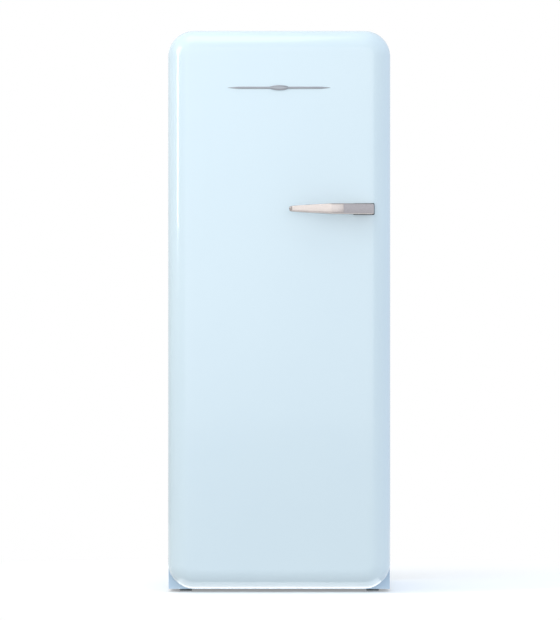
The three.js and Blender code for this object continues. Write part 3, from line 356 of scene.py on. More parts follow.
def addLight(name, place, turn, across, up, watts):
    lamp = bpy.data.lights.new(name, "AREA")
    lamp.shape = "RECTANGLE"
    lamp.size, lamp.size_y, lamp.energy = across, up, watts
    holder = bpy.data.objects.new(name, lamp)
    holder.location = place
    holder.rotation_euler = turn
    holder.visible_camera = False
    bpy.context.scene.collection.objects.link(holder)
    return holder


lights = {
    # name: (place, aim, size across, size up, watts)
    "softbox_left": ((-2.75, -1.75, 2.60), (-0.2, -0.2, 1.50), 1.5, 1.2, 26.0),
    "strip_left": ((-2.20, -1.45, 1.42), (-0.25, -0.3, 1.3), 0.30, 0.75, 8.0),
    "softbox_top": ((-0.42, -1.05, 3.5), (-0.25, -0.1, 1.1), 1.25, 1.5, 9.5),
    "card_front": ((0.05, -4.6, 1.6), (0.0, 0.0, 0.5), 3.4, 2.6, 24.0),
}
for name, (place, aim, across, up, watts) in lights.items():
    turn = (Vector(aim) - Vector(place)).to_track_quat("-Z", "Y").to_euler()
    addLight(name, place, turn, across, up, watts)

# a low card under the front, seen only in the gloss of the door's lower edge
lowCard = dict(across=0.60, front=-0.325, back=-0.240, height=0.003, watts=0.32)
cardPlace = (0, (lowCard["front"] + lowCard["back"]) / 2, lowCard["height"])
card = addLight("card_low", cardPlace, (math.pi, 0, 0), lowCard["across"], lowCard["back"] - lowCard["front"],
                lowCard["watts"])
card.visible_diffuse = False

# the room: white for the eye, and for the light a soft wash, brightest in front and cooler on the right
roomWash = {
    # part: (direction along, from, to, strength at the first, strength at the second, how they blend)
    "left": ("X", -0.8, -0.35, 0.60, 0.98, "SMOOTHSTEP"),
    "right": ("X", -0.08, 0.24, 1.0, 0.90, "SMOOTHSTEP"),
    "farRight": ("X", 0.45, 0.85, 1.0, 1.24, "SMOOTHSTEP"),
    "under": ("Z", -0.35, 0.05, 0.78, 1.0, "LINEAR"),
}
roomTint = dict(plain="#f7fafc", cool="#eaf2ff", start=0.05, end=0.6)
world = bpy.data.worlds.new("studio")
bpy.context.scene.world = world
world.use_nodes = True
tree = world.node_tree
tree.nodes.clear()
direction = addNode(tree, "ShaderNodeTexCoord")
parts = addNode(tree, "ShaderNodeSeparateXYZ", {"Vector": (direction, "Generated")})
level = None
for along, start, end, first, second, blend in roomWash.values():
    ramp = addNode(tree, "ShaderNodeMapRange", {"Value": (parts, along), "From Min": start, "From Max": end,
                                                "To Min": first, "To Max": second}, interpolation_type=blend)
    if level is None:
        level = (ramp, "Result")
    else:
        level = (addNode(tree, "ShaderNodeMath", {0: level, 1: (ramp, "Result")}, operation="MULTIPLY"),
                 "Value")
cool = addNode(tree, "ShaderNodeMapRange", {"Value": (parts, "X"), "From Min": roomTint["start"],
                                            "From Max": roomTint["end"]})
tint = addNode(tree, "ShaderNodeMix", {0: (cool, "Result"), 6: toLinear(roomTint["plain"]),
                                       7: toLinear(roomTint["cool"])}, data_type="RGBA")
room = addNode(tree, "ShaderNodeBackground", {"Color": (tint, 2), "Strength": level})
seen = addNode(tree, "ShaderNodeBackground", {"Color": (1, 1, 1, 1), "Strength": 1.0})
path = addNode(tree, "ShaderNodeLightPath")
both = addNode(tree, "ShaderNodeMixShader", {"Fac": (path, "Is Camera Ray")})
tree.links.new(room.outputs[0], both.inputs[1])
tree.links.new(seen.outputs[0], both.inputs[2])
addNode(tree, "ShaderNodeOutputWorld", {"Surface": (both, "Shader")})

# the floor: matt and pale under the object, and as white as the room further out
floorDisc = dict(radius=3.2, sides=64, paleTo=0.75, whiteFrom=1.7, glow=0.22, colour="#f4f5f5", rough=0.75,
                 grain=25.0, relief=0.00002)
floorMaterial, tree = startMaterial("pale_studio_floor")
place = addNode(tree, "ShaderNodeTexCoord")
grain = addNode(tree, "ShaderNodeTexNoise", {"Vector": (place, "Object"), "Scale": floorDisc["grain"],
                                             "Detail": 3.0})
relief = addNode(tree, "ShaderNodeBump", {"Height": (grain, "Fac"), "Distance": floorDisc["relief"]})
matt = addNode(tree, "ShaderNodeBsdfPrincipled", {
    "Base Color": toLinear(floorDisc["colour"]), "Roughness": floorDisc["rough"],
    "Normal": (relief, "Normal"), "Emission Color": (1, 1, 1, 1), "Emission Strength": floorDisc["glow"]})
white = addNode(tree, "ShaderNodeEmission", {"Color": (1, 1, 1, 1), "Strength": 1.0})
away = addNode(tree, "ShaderNodeVectorMath", {0: (place, "Object")}, operation="LENGTH")
fade = addNode(tree, "ShaderNodeMapRange", {"Value": (away, "Value"), "From Min": floorDisc["paleTo"],
                                            "From Max": floorDisc["whiteFrom"]},
               interpolation_type="SMOOTHSTEP")
blend = addNode(tree, "ShaderNodeMixShader", {0: (fade, "Result"), 1: (matt, "BSDF"), 2: (white, "Emission")})
addNode(tree, "ShaderNodeOutputMaterial", {"Surface": (blend, "Shader")})
floorMesh = bpy.data.meshes.new("floor")
turns = [2 * math.pi * k / floorDisc["sides"] for k in range(floorDisc["sides"])]
rim = [(floorDisc["radius"] * math.cos(a), floorDisc["radius"] * math.sin(a), 0.0) for a in turns]
floorMesh.from_pydata(rim, [], [tuple(range(len(rim)))])
floor = bpy.data.objects.new("floor", floorMesh)
floorMesh.materials.append(floorMaterial)
bpy.context.scene.collection.objects.link(floor)
floor.visible_diffuse = False
bpy.context.scene.view_settings.view_transform = "Standard"
print("camera, lights and floor placed")


# nodes that keep their shape: a finish, and in millimetres the small radius that a real edge has
nodeEdge = dict(weld=0.00002, angle=40)
finishes = {
    # the cabinet shell takes the door's enamel darkened with painted shade
    "cabinet_shell": (enamelCabinetShaded, 0.5), "cabinet_foam": (blownFoam, 0), "inner_liner": (polystyrene, 1.2),
    "back_panel": (zincSheet, 0.4), "base_plate": (zincSheet, 0.4), "drain_tube": (moulded, 0.5),
    "hinge_bracket_top": (zincSheet, 0.5), "hinge_bracket_bottom": (zincSheet, 0.5),
    "hinge_pin_top": (turnedSteel, 0.5), "hinge_pin_bottom": (turnedSteel, 0.5),
    "compressor_tray": (zincSheet, 0.4), "compressor_pump": (greyIron, 1.5),
    "compressor_relay": (blackPolyamide, 2.0),
    "evaporation_tray": (blackPolyamide, 0.8), "cord_gland": (blackPolyamide, 0.6),
    "freezer_frame": (moulded, 1.5), "freezer_evaporator": (rolledAluminium, 0.6),
    "shelf_glass_upper": (floatGlass, 0.8), "shelf_glass_lower": (floatGlass, 0.8),
    "crisper_cover": (floatGlass, 0.8),
    "shelf_trim_upper": (moulded, 1.0), "shelf_trim_lower": (moulded, 1.0), "air_duct_cover": (moulded, 0.9),
    "fan_motor": (blackPolyamide, 0.8), "fan_rotor": (blackPolyamide, 0.3), "control_housing": (moulded, 3.0),
    "lamp_lens": (frostedCover, 2.0), "door_foam": (blownFoam, 0), "door_liner": (polystyrene, 2.0),
    "hinge_bush_top": (acetal, 0.3), "hinge_bush_bottom": (acetal, 0.3),
    "bottle_bin": (clearStyrene, 0.7), "middle_bin": (clearStyrene, 0.7), "upper_bin": (clearStyrene, 0.7),
    "dairy_box": (clearStyrene, 0.7), "dairy_lid": (clearStyrene, 0.8), "crisper_drawer": (clearStyrene, 0.8),
    "freezer_flap": (moulded, 2.5), "foot_left": (turnedSteel, 0.6), "foot_right": (turnedSteel, 0.6),
    "roller_axle_left": (turnedSteel, 0.4), "roller_axle_right": (turnedSteel, 0.4),
    "suction_pipe": (copperPipe, 0), "discharge_pipe": (copperPipe, 0),
    "compressor_casing": (blackPaint, 0.6),
    "thermostat_dial": (moulded, 0.8), "roller_left": (blackPolyamide, 1.2),
    "roller_right": (blackPolyamide, 1.2),
    "door_skin": (enamel, 0), "door_handle": (satinChrome, 0), "trim_badge": (brushedTrim, 0),
    "door_gasket": (softVinyl, 0), "condenser_grid": (blackPaint, 0), "bottle_rack": (brightChrome, 0),
    "bottle_rail": (brightChrome, 0),
    **{f"grommet_{i}": (nitrile, 0.5) for i in (1, 2, 3, 4)},
}
for name, (material, edge) in finishes.items():
    node = nodes[name]
    node.data.materials.clear()
    node.data.materials.append(material)
    if edge:
        weld = node.modifiers.new("weld", "WELD")
        weld.merge_threshold = nodeEdge["weld"]
        softenEdges(node, edge / 1000, nodeEdge["angle"])
        normals = node.modifiers.new("normals", "WEIGHTED_NORMAL")
        normals.keep_sharp = True
print("finishes given to", len(finishes), "nodes")


# door panel: a pressed pillow of sheet steel with a wide soft edge and a slightly crowned face
doorPanel = dict(
    corner=0.070, leastCorner=0.003, edge=0.055, crown=0.0032, sheet=0.0012, cornerSteps=14, edgeSteps=14,
    faceInsets=(0.062, 0.075, 0.095, 0.12, 0.15, 0.18, 0.21, 0.24, 0.265, 0.285, 0.2945),
    hem=((0.011, 0), (0.0018, 0), (0.0004, 0.0006), (0, 0.002)))  # inset, and distance ahead of the back edge
low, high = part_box("door_skin")
doorFront, doorBack = low.y, high.y
doorMiddleZ = (low.z + high.z) / 2
flatX = high.x - doorPanel["edge"]
flatZ = (high.z - low.z) / 2 - doorPanel["edge"]


# How far forward the face is at a place on it.
def faceY(x, z):
    u, v = min(abs(x / flatX), 1), min(abs((z - doorMiddleZ) / flatZ), 1)
    return doorFront + doorPanel["crown"] * (1 - (1 - u * u) * (1 - v * v))


# Rings of the pressed form from its back to the middle of its face, drawn in all round by inward.
def doorPanelRings(inward, backRings):
    edge, corner, steps = doorPanel["edge"], doorPanel["corner"], doorPanel["cornerSteps"]
    depth = edge - doorPanel["crown"]
    straight = doorFront + edge
    vertices = []

    def addRing(inset, y=None):
        loop = roundedLoop(low.x + inset + inward, high.x - inset - inward, low.z + inset + inward,
                           high.z - inset - inward, max(corner - inset, doorPanel["leastCorner"]), steps)
        vertices.extend((x, (faceY(x, z) if y is None else y) + (inward if inset or y is None else 0), z)
                        for x, z in loop)

    for inset, y in backRings:
        addRing(inset, y)
    for k in range(doorPanel["edgeSteps"] + 1):
        a = math.radians(90 * k / doorPanel["edgeSteps"])
        addRing(edge * (1 - math.cos(a)), straight - depth * math.sin(a))
    for inset in doorPanel["faceInsets"]:
        addRing(inset)
    around = (steps + 1) * 4
    faces = ringFaces(len(vertices) // around, around, caps=False)
    faces.append(tuple(range(len(vertices) - around, len(vertices))))
    return vertices, faces


vertices, faces = doorPanelRings(0, [(inset, doorBack - ahead) for inset, ahead in doorPanel["hem"]])
doorShell = makePiece("door_panel", vertices, faces, enamel, "door", "body_paint", hides=["door_skin"])
thick = doorShell.modifiers.new("sheet", "SOLIDIFY")
thick.thickness = doorPanel["sheet"]
thick.offset = -1

# the slots in the panel's left edge that the hinge arms enter, measured from each arm's middle plus its lift
hingeSlot = dict(outer=-0.3035, inner=-0.2755, reach=0.0355, past=0.004, lift=0.002, below=0.0068,
                 above=0.0028, corner=0.0016)
cutters = []
for place in ("top", "bottom"):
    armLow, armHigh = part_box("hinge_bracket_" + place)
    armZ = (armLow.z + armHigh.z) / 2 + hingeSlot["lift"]
    vertices, faces = softBox(
        (hingeSlot["outer"], doorBack - hingeSlot["reach"], armZ - hingeSlot["below"]),
        (hingeSlot["inner"], doorBack + hingeSlot["past"], armZ + hingeSlot["above"]), hingeSlot["corner"])
    cutter = bpy.data.objects.new("cutter", bpy.data.meshes.new("cutter"))
    cutter.data.from_pydata(vertices, [], faces)
    faceOutwards(cutter.data)
    bpy.context.scene.collection.objects.link(cutter)
    cutters.append(cutter)
    slotCut = doorShell.modifiers.new("slot_" + place, "BOOLEAN")
    slotCut.object = cutter
    slotCut.operation = "DIFFERENCE"
    slotCut.solver = "EXACT"
applyModifiers(doorShell)
for cutter in cutters:
    bpy.data.objects.remove(cutter)

# the foam behind it, whose back is open where the inner panel's pan sinks in
doorFoam = dict(gap=0.0045, hem=0.0032, rings=((0.055, 0.036), (0.05, 0.004), (0, 0)))
foamBack = doorBack - doorFoam["hem"]
backRings = [(inset, foamBack - ahead) for inset, ahead in doorFoam["rings"]]
vertices, faces = doorPanelRings(doorFoam["gap"], backRings)
makePiece("door_foam_core", vertices, faces, blownFoam, "door", "foam", hides=["door_foam"])
print("door panel pressed")

# handle: a faceted bar that rises from its foot, bends twice and tapers to a free tip
handle = dict(chamfer=0.0026, edge=0.0005, facetAngle=3, creaseAngle=25, stations=[
    # x, front and back ahead of the door's flat plane, half height, chamfer share
    (0.2555, 0.0085, -0.0030, 0.0118, 0.6), (0.2540, 0.0105, -0.0030, 0.0132, 0.8),
    (0.2505, 0.0140, -0.0030, 0.0144, 1.0), (0.2480, 0.0155, -0.0030, 0.0145, 1.0),
    (0.2000, 0.0400, -0.0010, 0.0145, 1.0), (0.1925, 0.0438, 0.0100, 0.0145, 1.0),
    (0.1753, 0.0526, 0.0330, 0.0145, 1.0), (0.1735, 0.0533, 0.0345, 0.0145, 1.0),
    (0.1408, 0.0578, 0.0382, 0.0143, 1.0), (0.1385, 0.0578, 0.0382, 0.0142, 1.0),
    (0.1000, 0.0532, 0.0358, 0.0122, 1.0), (0.0600, 0.0484, 0.0345, 0.0098, 0.9),
    (0.0350, 0.0454, 0.0340, 0.0079, 0.8), (0.0295, 0.0440, 0.0350, 0.0066, 0.7),
    (0.0270, 0.0418, 0.0370, 0.0044, 0.5)])
handleLow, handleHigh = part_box("door_handle")
handleZ = (handleLow.z + handleHigh.z) / 2
vertices = []
for x, ahead, behind, half, share in handle["stations"]:
    cut = handle["chamfer"] * share
    front, back = doorFront - ahead, doorFront - behind
    for y, z in ((front, -half + cut), (front, half - cut), (front + cut, half), (back - cut, half),
                 (back, half - cut), (back, -half + cut), (back - cut, -half), (front + cut, -half)):
        vertices.append((x, y, handleZ + z))
bar = makePiece("handle_bar", vertices, ringFaces(len(handle["stations"]), 8), satinChrome, "door", "chrome",
                sharp=handle["facetAngle"], hides=["door_handle"])
softenEdges(bar, handle["edge"], handle["facetAngle"])
applyModifiers(bar)
bar.data.set_sharp_from_angle(angle=math.radians(handle["creaseAngle"]))

# thin seating pad under the handle's foot
pad = dict(inner=0.1985, outer=0.2570, half=0.0158, corner=0.003, steps=3, rise=0.0012)
padLoop = roundedLoop(pad["inner"], pad["outer"], -pad["half"], pad["half"], pad["corner"], pad["steps"])
vertices = [(x, faceY(x, z) + y, handleZ + z) for y in (-pad["rise"], pad["rise"]) for x, z in padLoop]
makePiece("handle_pad", vertices, ringFaces(2, len(padLoop)), nitrile, "door", "chrome")

# trim badge: a plain bar with tapered ends and a domed oval boss
badgeLow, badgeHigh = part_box("trim_badge")
badgeZ, badgeHalf = (badgeLow.z + badgeHigh.z) / 2, (badgeHigh.x - badgeLow.x) / 2
badge = dict(barHalf=0.0030, barRise=0.0026, tipHalf=0.0003, tipRise=0.0004, taper=0.030, sunk=0.0004,
             halfSteps=20, bossX=0.0266, bossZ=0.0070, bossSides=48,
             # share of the boss's half sizes, and rise over the door
             dome=((1, -0.0006), (1, 0.0012), (0.96, 0.0022), (0.86, 0.0031), (0.66, 0.0037), (0.4, 0.0040),
                   (0.1, 0.0040)))
barPoints, boss = [], []
barTurns = [math.radians(a) for a in range(0, 181, 30)]
for k in range(-badge["halfSteps"], badge["halfSteps"] + 1):
    x = badgeHalf * math.sin(math.radians(90 / badge["halfSteps"] * k))
    taper = min(1, (badgeHalf - abs(x)) / badge["taper"]) ** 0.8
    half = max(badge["barHalf"] * taper, badge["tipHalf"])
    rise = max(badge["barRise"] * taper, badge["tipRise"])
    for a in barTurns:
        z = badgeZ + half * math.cos(a)
        barPoints.append((x, faceY(x, badgeZ) + badge["sunk"] - rise * math.sin(a) ** 0.6, z))
for share, rise in badge["dome"]:
    for k in range(badge["bossSides"]):
        a = 2 * math.pi * k / badge["bossSides"]
        x, z = badge["bossX"] * share * math.cos(a), badge["bossZ"] * share * math.sin(a)
        boss.append((x, faceY(x, badgeZ) - rise, badgeZ + z))
barForm = (barPoints, ringFaces(2 * badge["halfSteps"] + 1, len(barTurns)))
bossForm = (boss, ringFaces(len(badge["dome"]), badge["bossSides"]))
makePiece("badge_trim", *gather(barForm, bossForm), brushedTrim, "door", "chrome", hides=["trim_badge"])
print("handle and badge made")

# gasket: a soft hollow section with a magnet channel and bellows, swept round the door
gasketLow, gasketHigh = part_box("door_gasket")
gasket = dict(corner=0.032, steps=6, section=[  # in millimetres: inset, and rise from the inner panel
    (2.2, 0), (13.8, 0), (14.4, 0.9), (12.8, 2.0), (11.2, 3.2), (12.6, 4.3), (15.2, 5.3), (16, 6.6),
    (15.8, 8.6), (14.8, 9.4), (1.2, 9.4), (0.2, 8.6), (0, 6.6), (0.8, 5.3), (3.4, 4.3), (4.8, 3.2),
    (3.2, 2.0), (1.6, 0.9)])
section = [(inset / 1000, rise / 1000) for inset, rise in gasket["section"]]
lobes = frameSweep(gasketLow.x, gasketHigh.x, gasketLow.z, gasketHigh.z, gasketLow.y, section,
                   gasket["corner"], gasket["steps"])
makePiece("gasket_lobed", *lobes, softVinyl, "door", "gasket", hides=["door_gasket"])

# hinge screws, three to each leaf, and the screws round the back panel
leafScrew = dict(fromLow=0.009, fromHigh=(0.019, 0.007), sunk=0.003, radius=0.0042, rise=0.0020)
heads = []
for place in ("top", "bottom"):
    leafLow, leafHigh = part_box("hinge_bracket_" + place)
    x, y = (leafLow.x + leafHigh.x) / 2, leafHigh.y - leafScrew["sunk"]
    for z in [leafLow.z + leafScrew["fromLow"]] + [leafHigh.z - down for down in leafScrew["fromHigh"]]:
        heads.append(screwHead((x, y, z), "Y", -1, leafScrew["radius"], leafScrew["rise"]))
makePiece("hinge_screws", *gather(*heads), turnedSteel, "cabinet", "zinc_steel")
backScrew = dict(sideX=0.288, heights=(0.33, 0.60, 0.88, 1.16, 1.43), topX=(-0.2, 0.0, 0.2), fromTop=0.014)
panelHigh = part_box("back_panel")[1]
places = [(side * backScrew["sideX"], z) for side in (-1, 1) for z in backScrew["heights"]]
places += [(x, panelHigh.z - backScrew["fromTop"]) for x in backScrew["topX"]]
heads = [screwHead((x, panelHigh.y, z), "Y", 1) for x, z in places]
makePiece("back_screws", *gather(*heads), turnedSteel, "cabinet", "zinc_steel")
print("gasket and screws made")

# condenser: one steel tube folded to and fro, with wires welded down both its sides, on four brackets
condenser = dict(tube=0.0024, wire=0.0007, weld=0.0005, runs=11, wires=44, margin=0.014, depth=0.0041,
                 bendSteps=12, sideRoom=0.0025, startInset=0.0055, tail=0.024, tailSunk=0.0004, tailBend=0.010,
                 # how the lower end turns into the first run: across and up from their corner
                 start=((0, -0.0028), (0, -0.0012), (0.0012, 0), (0.0035, 0)))
gridLow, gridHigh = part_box("condenser_grid")
coilY = gridHigh.y - condenser["depth"]
firstZ, lastZ = gridLow.z + condenser["margin"], gridHigh.z - condenser["margin"]
pitch = (lastZ - firstZ) / (condenser["runs"] - 1)
halfRun = gridHigh.x - condenser["sideRoom"] - pitch / 2
startX = gridLow.x + condenser["startInset"]
coilLine = [(startX + x, coilY, firstZ + z) for x, z in condenser["start"]]
for run in range(condenser["runs"]):
    z, side = firstZ + run * pitch, 1 if run % 2 == 0 else -1
    if run:
        coilLine.append((-side * halfRun, coilY, z))
    if run < condenser["runs"] - 1:
        for k in range(condenser["bendSteps"] + 1):
            a = math.radians(-90 + 180 * k / condenser["bendSteps"])
            coilLine.append((side * (halfRun + pitch / 2 * math.cos(a)), coilY,
                             z + pitch / 2 * (1 + math.sin(a))))
tailX = halfRun + condenser["tail"]
coilLine += bend([(halfRun, coilY, lastZ), (tailX, coilY, lastZ),
                  (tailX, gridLow.y + condenser["tailSunk"], lastZ)],
                 condenser["tailBend"])
forms = [tube(coilLine, condenser["tube"], 10)]
for k in range(condenser["wires"]):
    x = -halfRun + 2 * halfRun * k / (condenser["wires"] - 1)
    for side in (1, -1):
        y = coilY + side * condenser["tube"] + side * condenser["weld"]
        forms.append(tube([(x, y, gridLow.z), (x, y, gridHigh.z)], condenser["wire"], 6))
makePiece("condenser_coil", *gather(*forms), blackPaint, "cabinet", "black_steel", hides=["condenser_grid"])
bracket = dict(thin=0.0016, half=0.008, share=0.8, footX=(-0.004, 0.022), webGap=0.0038,
               clampX=(-0.016, -0.0024), clampY=(0.0052, 0.0037), edge=0.0007, clampEdge=0.0006, screwX=0.013)
forms, heads = [], []
for side in (-1, 1):
    for z in (firstZ + pitch / 2, lastZ - pitch / 2):
        x, thin, wall = side * bracket["share"] * halfRun, bracket["thin"], gridLow.y
        lower, upper = z - bracket["half"], z + bracket["half"]
        nearX, farX = x + bracket["footX"][0], x + bracket["footX"][1]
        clampX0, clampX1 = x + bracket["clampX"][0], x + bracket["clampX"][1]
        clampY0, clampY1 = coilY - bracket["clampY"][0], coilY - bracket["clampY"][1]
        forms.append(softBox((nearX, wall, lower), (farX, wall + thin, upper), bracket["edge"]))
        forms.append(softBox((nearX, wall, lower), (nearX + thin, coilY - bracket["webGap"], upper),
                             bracket["edge"]))
        forms.append(softBox((clampX0, clampY0, lower), (clampX1, clampY1, upper), bracket["clampEdge"]))
        heads.append(screwHead((x + bracket["screwX"], wall + thin, z), "Y", 1))
makePiece("condenser_brackets", *gather(*forms), zincSheet, "cabinet", "black_steel")
makePiece("bracket_screws", *gather(*heads), turnedSteel, "cabinet", "zinc_steel")
print("condenser made")

# compressor: two deep-drawn bowls welded at a raised seam, on a foot plate with four rubber mounts
compressor = dict(
    stretch=1.3, sides=56, plate=0.004, plateEdge=0.0014, boltX=0.0876, boltY=0.064,
    profile=[  # the bowls, in millimetres: radius and height
        (1, 1.5), (34, 1), (52, 5), (62, 12), (68.5, 24), (71.2, 40), (72, 58), (72, 76), (74.6, 77.1),
        (76, 78.4), (76, 81.6), (74.8, 82.7), (72.3, 83.4), (72, 96), (71.4, 112), (69, 128), (64, 141),
        (55, 152), (42, 160.5), (26, 165.5), (1, 167.4)],
    fastening=[  # sides, and profile in metres, of each washer, nut and bolt end
        (24, [(0.0095, 0), (0.0095, 0.0010), (0.0088, 0.0014)]),
        (6, [(0.0062, 0.0014), (0.0066, 0.0018), (0.0066, 0.0056), (0.0058, 0.0062)]),
        (14, [(0.0030, 0.0062), (0.0030, 0.0092), (0.0024, 0.0098)])])
casingLow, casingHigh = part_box("compressor_casing")
middle = Vector(((casingLow.x + casingHigh.x) / 2, (casingLow.y + casingHigh.y) / 2, casingLow.z))
profile = [(r / 1000, z / 1000) for r, z in compressor["profile"]]
bowls = lathe(profile, middle, "Z", compressor["sides"], compressor["stretch"])
plateTop = casingLow.z + compressor["plate"]
footPlate = softBox(tuple(casingLow), (casingHigh.x, casingHigh.y, plateTop), compressor["plateEdge"])
makePiece("compressor_shell", *gather(bowls, footPlate), blackPaint, "cabinet", "black_steel",
          hides=["compressor_casing"])
nuts = []
for sideX in (-1, 1):
    for sideY in (-1, 1):
        place = (middle.x + sideX * compressor["boltX"], middle.y + sideY * compressor["boltY"], plateTop)
        nuts += [lathe(profile, place, "Z", sides) for sides, profile in compressor["fastening"]]
makePiece("compressor_nuts", *gather(*nuts), turnedSteel, "cabinet", "zinc_steel")
# brazed collars where two pipes enter the casing: each pipe's radius, and its place from the middle
collar = dict(pipes=((0.0030, -0.0985, 0, 0.070), (0.0040, -0.0955, -0.026, 0.100)),
              profile=((0.0014, 0), (0.0022, 0.001), (0.0022, 0.0055), (0.0006, 0.0085)))
collars = []
for radius, x, y, z in collar["pipes"]:
    place = (middle.x + x, middle.y + y, casingLow.z + z)
    collars.append(lathe([(radius + grow, along) for grow, along in collar["profile"]], place, "X", 20))
makePiece("pipe_collars", *gather(*collars), copperPipe, "cabinet", "copper")
print("compressor made")

# bottle rack and bottle rail in round drawn wire
rack = dict(wire=0.0021, waves=5, waveSteps=14, height=0.016, waveBase=0.0062, inset=0.034, sideRoom=0.0005,
            endRoom=0.001, crossHeight=0.0040)
rackLow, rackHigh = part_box("bottle_rack")
wire = rack["wire"]
forms = []
for y in (rackLow.y + rack["inset"] + wire, rackHigh.y - rack["inset"] - wire):
    wave = []
    for k in range(rack["waves"] * rack["waveSteps"] + 1):
        share = k / (rack["waves"] * rack["waveSteps"])
        x = rackLow.x + wire + (rackHigh.x - rackLow.x - 2 * wire) * share
        rise = rack["height"] * (1 - math.cos(2 * math.pi * rack["waves"] * share))
        wave.append((x, y, rackLow.z + rack["waveBase"] + rise))
    forms.append(tube(wave, wire, 8))
for y in (rackLow.y + wire, rackHigh.y - wire):
    forms.append(tube([(rackLow.x + rack["sideRoom"], y, rackLow.z + wire),
                       (rackHigh.x - rack["sideRoom"], y, rackLow.z + wire)], wire, 10))
for k in range(rack["waves"] + 1):
    between = rackHigh.x - rackLow.x - 2 * wire - 2 * rack["sideRoom"]
    x, z = rackLow.x + wire + rack["sideRoom"] + between * k / rack["waves"], rackLow.z + rack["crossHeight"]
    forms.append(tube([(x, rackLow.y + rack["endRoom"], z), (x, rackHigh.y - rack["endRoom"], z)], wire, 10))
makePiece("rack_wires", *gather(*forms), brightChrome, "cabinet", "chrome", hides=["bottle_rack"])
rail = dict(middle=0.003, wire=0.0028, bend=0.012, steps=7)
railLow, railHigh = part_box("bottle_rail")
left, right = railLow.x + rail["middle"], railHigh.x - rail["middle"]
front, back, top = railLow.y + rail["middle"], railHigh.y - rail["middle"], railHigh.z - rail["middle"]
railLine = bend([(left, front, railLow.z), (left, front, top), (left, back, top), (right, back, top),
                 (right, front, top), (right, front, railLow.z)], rail["bend"], rail["steps"])
makePiece("rail_wire", *tube(railLine, rail["wire"], 12), brightChrome, "bottle_bin", "chrome",
          hides=["bottle_rail"])
print("wire pieces made")

# rolled rims that stiffen the bins and the drawer
rims = dict(bead=0.0021, corner=0.012, drawerLip=0.009, lidRoom=0.004)
bead = [(rims["bead"] * (1 + math.cos(math.radians(a))), rims["bead"] * math.sin(math.radians(a)))
        for a in range(0, 360, 36)]
for name, body in (("bottle_bin", "bottle_bin"), ("middle_bin", "middle_bin"), ("upper_bin", "upper_bin"),
                   ("dairy_box", "door"), ("crisper_drawer", "crisper_drawer")):
    binLow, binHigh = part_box(name)
    front = binLow.y + (rims["drawerLip"] if name == "crisper_drawer" else 0)
    top = binHigh.z - rims["bead"] - (rims["lidRoom"] if name == "dairy_box" else 0)
    rim = frameSweep(binLow.x, binHigh.x, front, binHigh.y, top, bead, rims["corner"], flat="xy")
    makePiece(name + "_rim", *rim, clearStyrene, body, "clear_plastic")

# ice box: the evaporator's raised channels and a tray of ice cups
plateLow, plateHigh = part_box("freezer_evaporator")
channel = dict(radius=0.0026, runs=7, side=0.205, front=0.020, back=0.030, wall=0.002, bend=0.018, steps=6)
firstY = plateLow.y + channel["front"]
channelDepth = plateHigh.y - plateLow.y - channel["front"] - channel["back"]
forms = []
for z in (plateLow.z + channel["wall"], plateHigh.z - channel["wall"]):
    line = []
    for run in range(channel["runs"]):
        y = firstY + channelDepth * run / (channel["runs"] - 1)
        ends = (-channel["side"], channel["side"]) if run % 2 == 0 else (channel["side"], -channel["side"])
        line += [(ends[0], y, z), (ends[1], y, z)]
    forms.append(tube(bend(line, channel["bend"], channel["steps"]), channel["radius"], 8))
makePiece("evaporator_channels", *gather(*forms), rolledAluminium, "cabinet", "aluminium")

iceTray = dict(cupsX=7, cupsY=2, cup=0.036, rib=0.004, slope=0.005, depth=0.030, wall=0.0012, edge=0.0012,
               edgeAngle=30, x=-0.14, y=0.02, base=0.0056)


# The lines along which the tray's sheet bends: the place of each, and whether it is down in a cup.
def cupLines(start, cups):
    lines = [(start, False)]
    for cup in range(cups):
        at = start + iceTray["rib"] + cup * (iceTray["cup"] + iceTray["rib"])
        lines += [(at, False), (at + iceTray["slope"], True), (at + iceTray["cup"] - iceTray["slope"], True),
                  (at + iceTray["cup"], False)]
    return lines + [(start + cups * (iceTray["cup"] + iceTray["rib"]) + iceTray["rib"], False)]


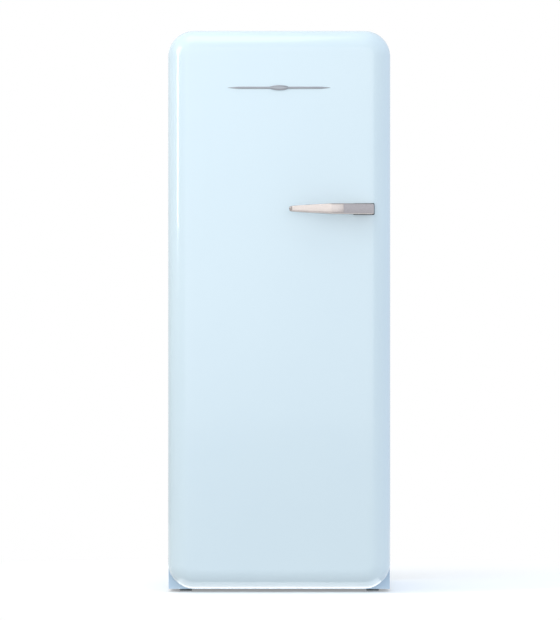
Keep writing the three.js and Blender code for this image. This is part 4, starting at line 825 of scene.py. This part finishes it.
trayBase = plateLow.z + iceTray["base"]
acrossLines, alongLines = cupLines(iceTray["x"], iceTray["cupsX"]), cupLines(iceTray["y"], iceTray["cupsY"])
vertices = [(x, y, trayBase + (0 if sunkX and sunkY else iceTray["depth"])) for y, sunkY in alongLines
            for x, sunkX in acrossLines]
count = len(acrossLines)
faces = [(r * count + c, r * count + c + 1, (r + 1) * count + c + 1, (r + 1) * count + c)
         for r in range(len(alongLines) - 1) for c in range(count - 1)]
tray = makePiece("ice_tray", vertices, faces, polyethylene, "cabinet", "liner")
shell = tray.modifiers.new("wall", "SOLIDIFY")
shell.thickness = iceTray["wall"]
shell.offset = 1
softenEdges(tray, iceTray["edge"], iceTray["edgeAngle"])
applyModifiers(tray)
print("bin rims and ice box pieces made")

# dial: marks printed round it on the housing, every other one longer
dialLow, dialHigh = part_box("thermostat_dial")
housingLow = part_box("control_housing")[0]
dialY, dialZ = (dialLow.y + dialHigh.y) / 2, (dialLow.z + dialHigh.z) / 2
marks = dict(count=9, start=-135, sweep=270, inner=0.0205, longOuter=0.0245, shortOuter=0.0230, half=0.0005,
             ink=0.00015)
forms = []
for k in range(marks["count"]):
    a = math.radians(marks["start"] + marks["sweep"] * k / (marks["count"] - 1))
    outer = marks["longOuter"] if k % 2 == 0 else marks["shortOuter"]
    alongY, alongZ = math.sin(a), math.cos(a)
    outline = ((marks["inner"], -marks["half"]), (marks["inner"], marks["half"]), (outer, marks["half"]),
               (outer, -marks["half"]))
    corners = [(reach * alongY + side * alongZ, reach * alongZ - side * alongY) for reach, side in outline]
    vertices = [(housingLow.x + dx, dialY + y, dialZ + z) for dx in (-marks["ink"], marks["ink"])
                for y, z in corners]
    forms.append((vertices, ringFaces(2, len(corners))))
makePiece("dial_marks", *gather(*forms), greyInk, "cabinet", "black_plastic")

# the ground front edge of the pane over the drawer
paneEdge = dict(endRoom=0.001, proud=0.0005, sunk=0.0004, faceRoom=0.0002, edge=0.0003)
paneLow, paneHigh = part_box("crisper_cover")
strip = softBox(
    (paneLow.x + paneEdge["endRoom"], paneLow.y - paneEdge["proud"], paneLow.z + paneEdge["faceRoom"]),
    (paneHigh.x - paneEdge["endRoom"], paneLow.y + paneEdge["sunk"], paneHigh.z - paneEdge["faceRoom"]),
    paneEdge["edge"])
makePiece("pane_edge", *strip, groundGlass, "cabinet", "shelf_glass")
print("dial marks and pane edge made")
